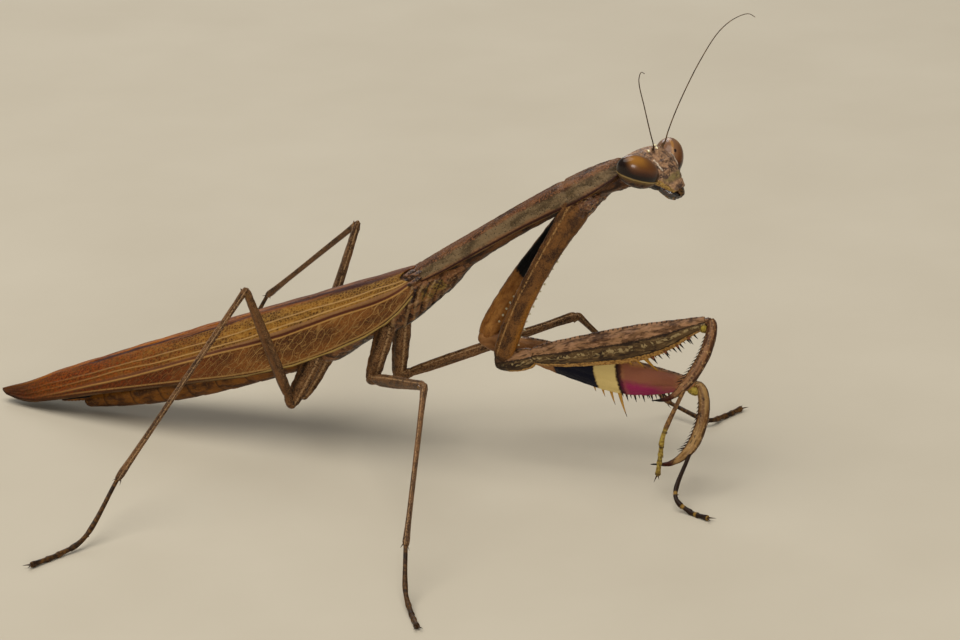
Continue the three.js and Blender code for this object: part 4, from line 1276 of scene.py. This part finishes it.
foot_paint = Finish("tarsus_chitin")
rest = foot_paint.attributes("rest")[0]
grain = rest.noise(5, 3)
foot_paint.base(grain.rise(0.35, 0.65), "2a190c", "5c3e1c")
dark = rest.stretch((1, 0.2, 0.2)).noise(1.6, 2).rise(0.45, 0.6)
foot_paint.over(dark * 0.7, "160d07")
foot_material = foot_paint.show(grain * 0.25 + 0.35, grain, 0.00004)

banded_foot = Finish("fore_tarsus_chitin")
rest, wrap = banded_foot.attributes("rest", "wrap")
grain = rest.noise(5, 3)
share = wrap.part("Z")
banded_foot.base(grain.rise(0.35, 0.65), "4a2f18", "7d5a30")
pale = banded_foot.blend(grain.rise(0.35, 0.65), "6e5420", "a08a3e")
banded_foot.over(share.rise(0.44, 0.48), pale)
joints = (share - 0.5).to_and_fro(0.08)
banded_foot.over(joints.rise(0.018, 0.006) * share.rise(0.44, 0.48) * 0.6, "2a180c")
banded_material = banded_foot.show(grain * 0.25 + 0.35, grain, 0.00004)

dark_foot = Finish("fore_tarsus_dark")
rest, wrap = dark_foot.attributes("rest", "wrap")
share = wrap.part("Z")
grain = rest.noise(5, 3)
bands = (share - 0.5).to_and_fro(0.085)
dark_foot.base(bands.rise(0.025, 0.01) * share.rise(0.44, 0.46), "1a0f0a", "8a6a2c")
dark_foot.over(grain * 0.4, "3c2410")
dark_foot_material = dark_foot.show(grain * 0.25 + 0.3, grain, 0.00004)

# A foot has one long joint and four short ones, each wider at its end, then a pair of claws.
FOOT_JOINTS = (0.5, 0.66, 0.78, 0.87, 1.0)


def foot(name, ankle, heel, toe, standing, material, slot, thick, *nodes):
    ankle, heel, toe = [np.asarray(p, float) for p in (ankle, heel, toe)]
    places = [toward(ankle, heel, -0.12), heel, heel + (toe - heel) * 0.45, toe]
    if standing:
        places[2][2] = places[3][2] = thick + 0.02
    line = Line(places, (0, 0, 1))
    stations, start = [], 0.0
    for number, end in enumerate(FOOT_JOINTS):
        length = end - start
        grown = 1.0 if number else 0.9
        for share, width, pad in ((0.02, 0.8, 0.85), (0.6, 0.82, 0.9), (0.9, 1.12, 1.25), (0.99, 0.85, 0.9)):
            half = thick * width * grown
            stations.append(((start + length * share) * line.length, half, half, -thick * pad * grown))
        start = end
    piece = limb(name, stations, line, sides=8)
    if standing:
        spots = points_of(piece)
        spots[:, 2] = np.maximum(spots[:, 2], 0.0)
        set_points(piece, spots)
    dress(piece, slot, material, *nodes)
    centre, forward, left, top = line.frame(line.length)[:, 0]
    seats = [
        (centre + left * way * 0.05, forward + left * way * 0.5 + top * 0.15, -top, 0.5, thick * 0.36)
        for way in (-1, 1)
    ]
    for joint_end in FOOT_JOINTS[:-1]:
        for way in (-1, 1):
            pad = line.spot(joint_end * line.length - 0.04, way * thick * 0.5, -thick * 0.7)
            seats.append((pad, forward * 1.6 - top * 0.5 + left * way * 0.4, top, 0.16, 0.05))
    claws = thorns(f"{name}_claws", seats)
    spots = points_of(claws)
    if standing:
        spots[:, 2] = np.maximum(spots[:, 2], 0.0)
        set_points(claws, spots)
    dress(claws, slot, claw_paint)


def coxa_form(along, turn):
    turned = np.radians(turn)
    edges = 0.10 * np.cos(3 * turned)
    furrow = 0.05 * bulge(abs(turn) - 118, 7) + 0.05 * bulge(abs(turn) - 60, 7)
    return 1 + edges - furrow


def femur_form(along, turn):
    side = abs(turn)
    keel = 0.05 * bulge(side, 8)
    channel = 0.09 * bulge(side - 106, 9)
    edge = 0.08 * bulge(side - 158, 7) - 0.10 * bulge(side - 180, 12)
    return 1 + keel - channel + edge


FORE_FEMUR = [  # share of the length, half width, top, bottom
    (0.0, 0.42, 0.42, -0.5), (0.04, 0.52, 0.58, -0.75), (0.16, 0.58, 0.62, -1.12),
    (0.34, 0.66, 0.66, -1.42), (0.52, 0.68, 0.66, -1.7), (0.66, 0.64, 0.62, -1.64),
    (0.8, 0.54, 0.5, -1.25), (0.9, 0.44, 0.42, -0.72), (1.0, 0.34, 0.34, -0.4),
]
FORE_TIBIA = [
    (0, 0.14, 0.16), (0.05, 0.26, 0.28), (0.14, 0.3, 0.36), (0.3, 0.31, 0.38), (0.5, 0.32, 0.4),
    (0.62, 0.3, 0.38), (0.7, 0.26, 0.3), (0.78, 0.18, 0.2), (0.9, 0.11, 0.12), (1, 0.03, 0.03),
]
LONG_SPINES = (0.5, 0.65, 1.05, 1.75)


def foreleg(name, side, inner, standing, *joints):
    """A foreleg of seven joints. inner is 1 where the banded face is on the line's left, or -1."""
    top, elbow, knee, ankle, claw, heel, toe = np.array(joints, float)
    coxa_way, femur_way, tibia_way = unit(elbow - top), unit(knee - elbow), unit(ankle - knee)
    back = square_to(-femur_way, coxa_way)
    dorsal = square_to(-coxa_way, femur_way)
    outer = square_to(femur_way, tibia_way)

    start = toward(top, elbow, 0.05) - np.array([0, side * 0.22, 0])
    line = Line([start, top + (elbow - top) * 0.62 + back * 0.4, toward(elbow, top, -0.1)], back)
    long = line.length
    coxa = limb(
        f"fore_coxa_bar_{name}",
        [(0, 0.3, 0.55, -0.5), (0.035 * long, 0.5, 0.85, -0.95), (0.1 * long, 0.6, 0.82, -0.95),
         (0.18 * long, 0.6, 0.76, -0.74), (0.35 * long, 0.56, 0.68, -0.62), (0.6 * long, 0.55, 0.66, -0.6),
         (0.82 * long, 0.58, 0.72, -0.62), (0.94 * long, 0.6, 0.76, -0.62), (long, 0.42, 0.5, -0.45)],
        line, coxa_form, rough=0.09, grain=0.4, levels=3, inner=-inner,
    )
    dress(coxa, "foreleg", coxa_material, f"fore_coxa_{name}")
    hinge = ball(
        f"coxa_hinge_{name}", 48, 32, (1.35, 0.62, 0.62), raised_at(12.35, side * 1.0, -1.5),
        (unit(raised_at(1, 0, 0) - raised_at(0, 0, 0)), (0, 1, 0), raised_up),
        lambda p: p * (1 + 0.06 * np.sin(p[:, 0] * 14 + p[:, 2] * 5) * np.cos(p[:, 1] * 9))[:, None],
    )
    dress(hinge, "pronotum", hinge_material)
    seats = []
    for number in range(15):
        size = 0.09 if number % 3 else 0.15
        seats.append(seat(line, 0.2 + number * 0.048, 0, -0.58, (0.35, 0, -1), size, 0.08 + size * 0.12, -1))
    for number in range(8):
        seats.append(seat(line, 0.58 + number * 0.04, -inner * 0.52, -0.32, (0, -inner, -0.6), 0.15, 0.085))
    dress(thorns(f"fore_coxa_pearls_{name}", seats), "foreleg", pearl)

    line = Line([toward(elbow, knee, -0.5), toward(elbow, knee, 2.1)], dorsal)
    trochanter = limb(
        f"fore_trochanter_cup_{name}",
        [(0, 0.3, 0.3, -0.35), (0.25, 0.5, 0.5, -0.6), (0.9, 0.58, 0.6, -0.82), (1.7, 0.54, 0.58, -0.92),
         (2.3, 0.5, 0.55, -0.85), (2.6, 0.42, 0.4, -0.6)],
        line, rough=0.08, grain=0.35, levels=3, inner=inner,
    )
    dress(trochanter, "foreleg", femur_material, f"fore_trochanter_{name}")

    line = Line([toward(elbow, knee, 2.0), toward(knee, elbow, 0.25)], dorsal)
    long = line.length
    femur = limb(
        f"fore_femur_blade_{name}", [(2.0 + t * long, w, a, b) for t, w, a, b in FORE_FEMUR],
        line, femur_form, rough=0.09, grain=0.4, sides=16, levels=3, inner=inner,
    )
    dress(femur, "foreleg", femur_material, f"fore_femur_{name}")
    shares, _, _, bottoms = np.array(FORE_FEMUR).T

    def spine(share, row, length, thick, lean):
        height = np.interp(share, shares, bottoms) + 0.14
        return seat(line, share, row * 0.28, height, (lean, row * 0.25, -1), length, thick)

    short = [
        spine(0.61 + number * 0.0225, inner * 0.4, *((0.62, 0.11) if number % 2 else (0.4, 0.08)), 0.3)
        for number in range(14)
    ]
    short += [spine(0.66 + number * 0.075, -inner, 0.6, 0.11, 0.3) for number in range(4)]
    dress(thorns(f"fore_femur_spines_{name}", short), "foreleg", black_tipped)
    long_row = [
        spine(0.455 + number * 0.047, inner * 0.5, length, 0.08 + length * 0.035, 0.38)
        for number, length in enumerate(LONG_SPINES)
    ]
    dress(thorns(f"fore_femur_long_spines_{name}", long_row), "foreleg", pale_spine)

    path = [
        knee - femur_way * 0.55 - dorsal * 0.05, knee + femur_way * 0.02 - dorsal * 0.12,
        knee + (ankle - knee) * 0.4 + outer * 0.5, ankle + (knee - ankle) * 0.08,
        ankle + (claw - ankle) * 0.45 + tibia_way * 0.3, claw,
    ]
    line = Line(path, outer)
    long = line.length
    shin = limb(
        f"fore_tibia_rod_{name}", [(t * long, w, d) for t, w, d in FORE_TIBIA],
        line, rough=0.05, grain=0.3, levels=3, inner=inner,
    )
    dress(shin, "foreleg", shin_materials[name], f"fore_tibia_{name}")
    comb = [
        seat(
            line, 0.22 + number * 0.037, row * 0.12, -0.3, (1.3, row * 0.3, -1), 0.26 + 0.018 * number, 0.055
        )
        for row in (-1, 1) for number in range(13)
    ]
    dress(thorns(f"fore_tibia_comb_{name}", comb), "foreleg", comb_paint)

    knee_skin = limb(
        f"knee_skin_{name}",
        [(0, 0.14, 0.24), (0.35, 0.2, 0.34, -0.36), (0.8, 0.18, 0.26, -0.34), (1.1, 0.08, 0.1, -0.14)],
        Line([knee - femur_way * 0.75 - dorsal * 0.35, knee + tibia_way * 0.55], dorsal),
        rough=0.06, grain=0.25, levels=3,
    )
    dress(knee_skin, "foreleg", skin_material)
    foot(
        f"fore_tarsus_joints_{name}", ankle, heel, toe, standing,
        dark_foot_material if standing else banded_material, "tarsus", 0.17, f"fore_tarsus_{name}",
    )


# The joints are the coxa's top and end, the knee, the ankle, the claw's tip, the heel and the toe.
foreleg(
    "right", -1, 1, False, (32.14, -1.44, 17.89), (26.56, -1.09, 6.8), (39.92, 0.02, 10.36),
    (39.18, -3.15, 6.95), (37.15, -3.45, 6.09), (38.2, -4.61, 4.31), (37.74, -4.45, 1.58),
)
foreleg(
    "left", 1, -1, True, (32.06, 1.47, 17.76), (24.65, 1.2, 7.4), (39.13, 0.28, 5.9),
    (39.41, -3.1, 2.62), (36.99, -3.5, 1.83), (39.32, -5.8, 0.8), (41.72, -6.95, 0.25),
)


# ---- Walking legs ----
# Four slender legs: a short mottled coxa, a keeled femur with pale lobes at the knee, a thin tibia that
# thickens at both ends, and a five-jointed foot.

leg_paint = Finish("leg_chitin")
rest, wrap = leg_paint.attributes("rest", "wrap")
turn = abs(wrap.part("Y"))
cloud = rest.stretch((0.35, 1, 1)).noise(2.0, 4, 0.4)
speck = rest.noise(8, 3)
cell = rest.stretch((5, 9, 9))
net = cell.cells(1.0, "DISTANCE_TO_EDGE").rise(0.16, 0.04)
holes = cell.cells(1.0).rise(0.4, 0.2)
leg_paint.base(cloud.rise(0.38, 0.62), "3c2512", "6e4a2a")
leg_paint.over(net * cloud.rise(0.3, 0.6) * 0.35, "8f6c48")
leg_paint.over(speck.rise(0.52, 0.7) * 0.4, "93704c")
leg_paint.over(holes * speck.rise(0.46, 0.54) * 0.85, "120a06")
grain = rest.noise(13, 2, 0.5)
leg_paint.over(grain.rise(0.54, 0.62) * 0.55, "1a0e08")
leg_paint.over(grain.rise(0.44, 0.37) * 0.5, "a07a50")
leg_paint.over(rest.noise(3.2, 2, 0.4).rise(0.56, 0.63) * 0.35, "160c07")
leg_paint.over(turn.within(36, 54, 5) * speck.rise(0.4, 0.52) * 0.75, "b08c62")
leg_paint.over(turn.rise(130, 170) * 0.4, "7a4c24")
lobe_paint = thorn_paint("knee_lobe", "6a4c2a", "2a160c", 0.7)
leg_material = leg_paint.show(cloud * 0.25 + 0.32, speck * 0.4 + cloud * 0.5 + net * 0.4, 0.00006)


def keeled(along, turn):
    side = np.radians(turn)
    return 1 + 0.10 * np.cos(4 * side) - 0.03


def walking_leg(name, thigh, shin, *joints):
    """A leg of given half depths, from its coxa's top and end, knee, ankle, heel and toe."""
    top, elbow, knee, ankle, heel, toe = np.array(joints, float)
    line = Line([toward(top, elbow, -0.7), toward(elbow, top, -0.1)], (1, 0, 0))
    long = line.length
    coxa = limb(
        f"{name}_coxa_bar",
        [(0, 0.42, 0.5), (0.25 * long, 0.52, 0.62), (0.6 * long, 0.46, 0.54),
         (0.88 * long, 0.42, 0.48), (long, 0.3, 0.34)],
        line, keeled, rough=0.12, grain=0.4, levels=3,
    )
    dress(coxa, "leg", leg_material, f"{name}_coxa")
    way = unit(knee - elbow)
    up = np.array([0, 0, 1.0])
    line = Line([toward(elbow, knee, -0.35), toward(elbow, knee, 1.0)], up)
    cup = limb(
        f"{name}_trochanter_cup",
        [(0, 0.22, 0.22), (0.25, 0.36, 0.36), (0.8, 0.36, 0.38), (1.35, 0.26, 0.28)],
        line, rough=0.06, grain=0.3,
    )
    dress(cup, "leg", leg_material, f"{name}_trochanter")
    line = Line([toward(elbow, knee, 0.85), knee], up)
    long = line.length
    femur = limb(
        f"{name}_femur_rod",
        [(0, 0.24, 0.26), (0.06 * long, thigh * 0.82, thigh * 0.9),
         (0.3 * long, thigh * 0.86, thigh), (0.6 * long, thigh * 0.76, thigh * 0.86),
         (0.86 * long, thigh * 0.62, thigh * 0.7), (0.93 * long, 0.25, 0.3),
         (0.98 * long, 0.27, 0.32, -0.34), (long, 0.14, 0.16, -0.18)],
        line, keeled, rough=0.05, grain=0.3, levels=3,
    )
    dress(femur, "leg", leg_material, f"{name}_femur")
    shin_way = unit(ankle - knee)
    across = unit(np.cross(way, shin_way))
    root = knee - way * 0.35 + square_to(shin_way, way) * 0.16
    lobes = [(root + across * side * 0.2, way, across * side, 0.5, 0.16) for side in (-1, 1)]
    dress(thorns(f"{name}_knee_lobes", lobes), "leg", lobe_paint)
    outer = square_to(way, shin_way)
    line = Line([toward(knee, ankle, -0.12), ankle], outer)
    long = line.length
    tibia = limb(
        f"{name}_tibia_rod",
        [(0, 0.16, 0.18), (0.02 * long, 0.24, 0.27), (0.07 * long, 0.2, 0.22),
         (0.14 * long, shin * 0.95, shin), (0.5 * long, shin * 0.85, shin * 0.9),
         (0.9 * long, shin * 0.85, shin * 0.9), (0.965 * long, shin * 1.3, shin * 1.4),
         (long, shin * 0.9, shin * 0.9)],
        line, keeled, rough=0.03, grain=0.3,
    )
    dress(tibia, "leg", leg_material, f"{name}_tibia")
    spurs = [
        (
            line.spot(long - 0.12, side * shin * 0.8, -shin * 0.6),
            shin_way + np.cross(outer, shin_way) * side * 0.5, outer, 0.36, 0.04,
        )
        for side in (-1, 1)
    ]
    dress(thorns(f"{name}_spurs", spurs), "leg", claw_paint)
    foot(f"{name}_tarsus_joints", ankle, heel, toe, True, foot_material, "tarsus", 0.18, f"{name}_tarsus")


walking_leg(
    "mid_right", 0.41, 0.18, (18.75, -1.55, 8.1), (17.72, -1.67, 4.91), (25.26, -11.34, 8.91),
    (27.17, -20.2, 2.37), (28.18, -22.99, 0.75), (30.04, -26.05, 0.25),
)
walking_leg(
    "mid_left", 0.36, 0.18, (18.75, 1.55, 7.85), (18.3, 1.5, 3.95), (30.03, 3.49, 8.55),
    (34.46, 8.64, 0.95), (37.3, 7.6, 0.45), (38.69, 10.68, 0.25),
)
walking_leg(
    "hind_right", 0.43, 0.21, (13.58, -1.55, 5.64), (11.98, -1.63, 2.64), (12.66, -8.92, 13.14),
    (6.74, -16.75, 2.9), (6.15, -20.73, 0.55), (4.4, -24.29, 0.25),
)
walking_leg(
    "hind_left", 0.43, 0.21, (13.58, 1.57, 5.62), (11.6, 1.3, 2.1), (12.56, 9.57, 11.27),
    (2.75, 15.88, 3.01), (0.8, 16.8, 0.55), (-2.1, 14.5, 0.25),
)
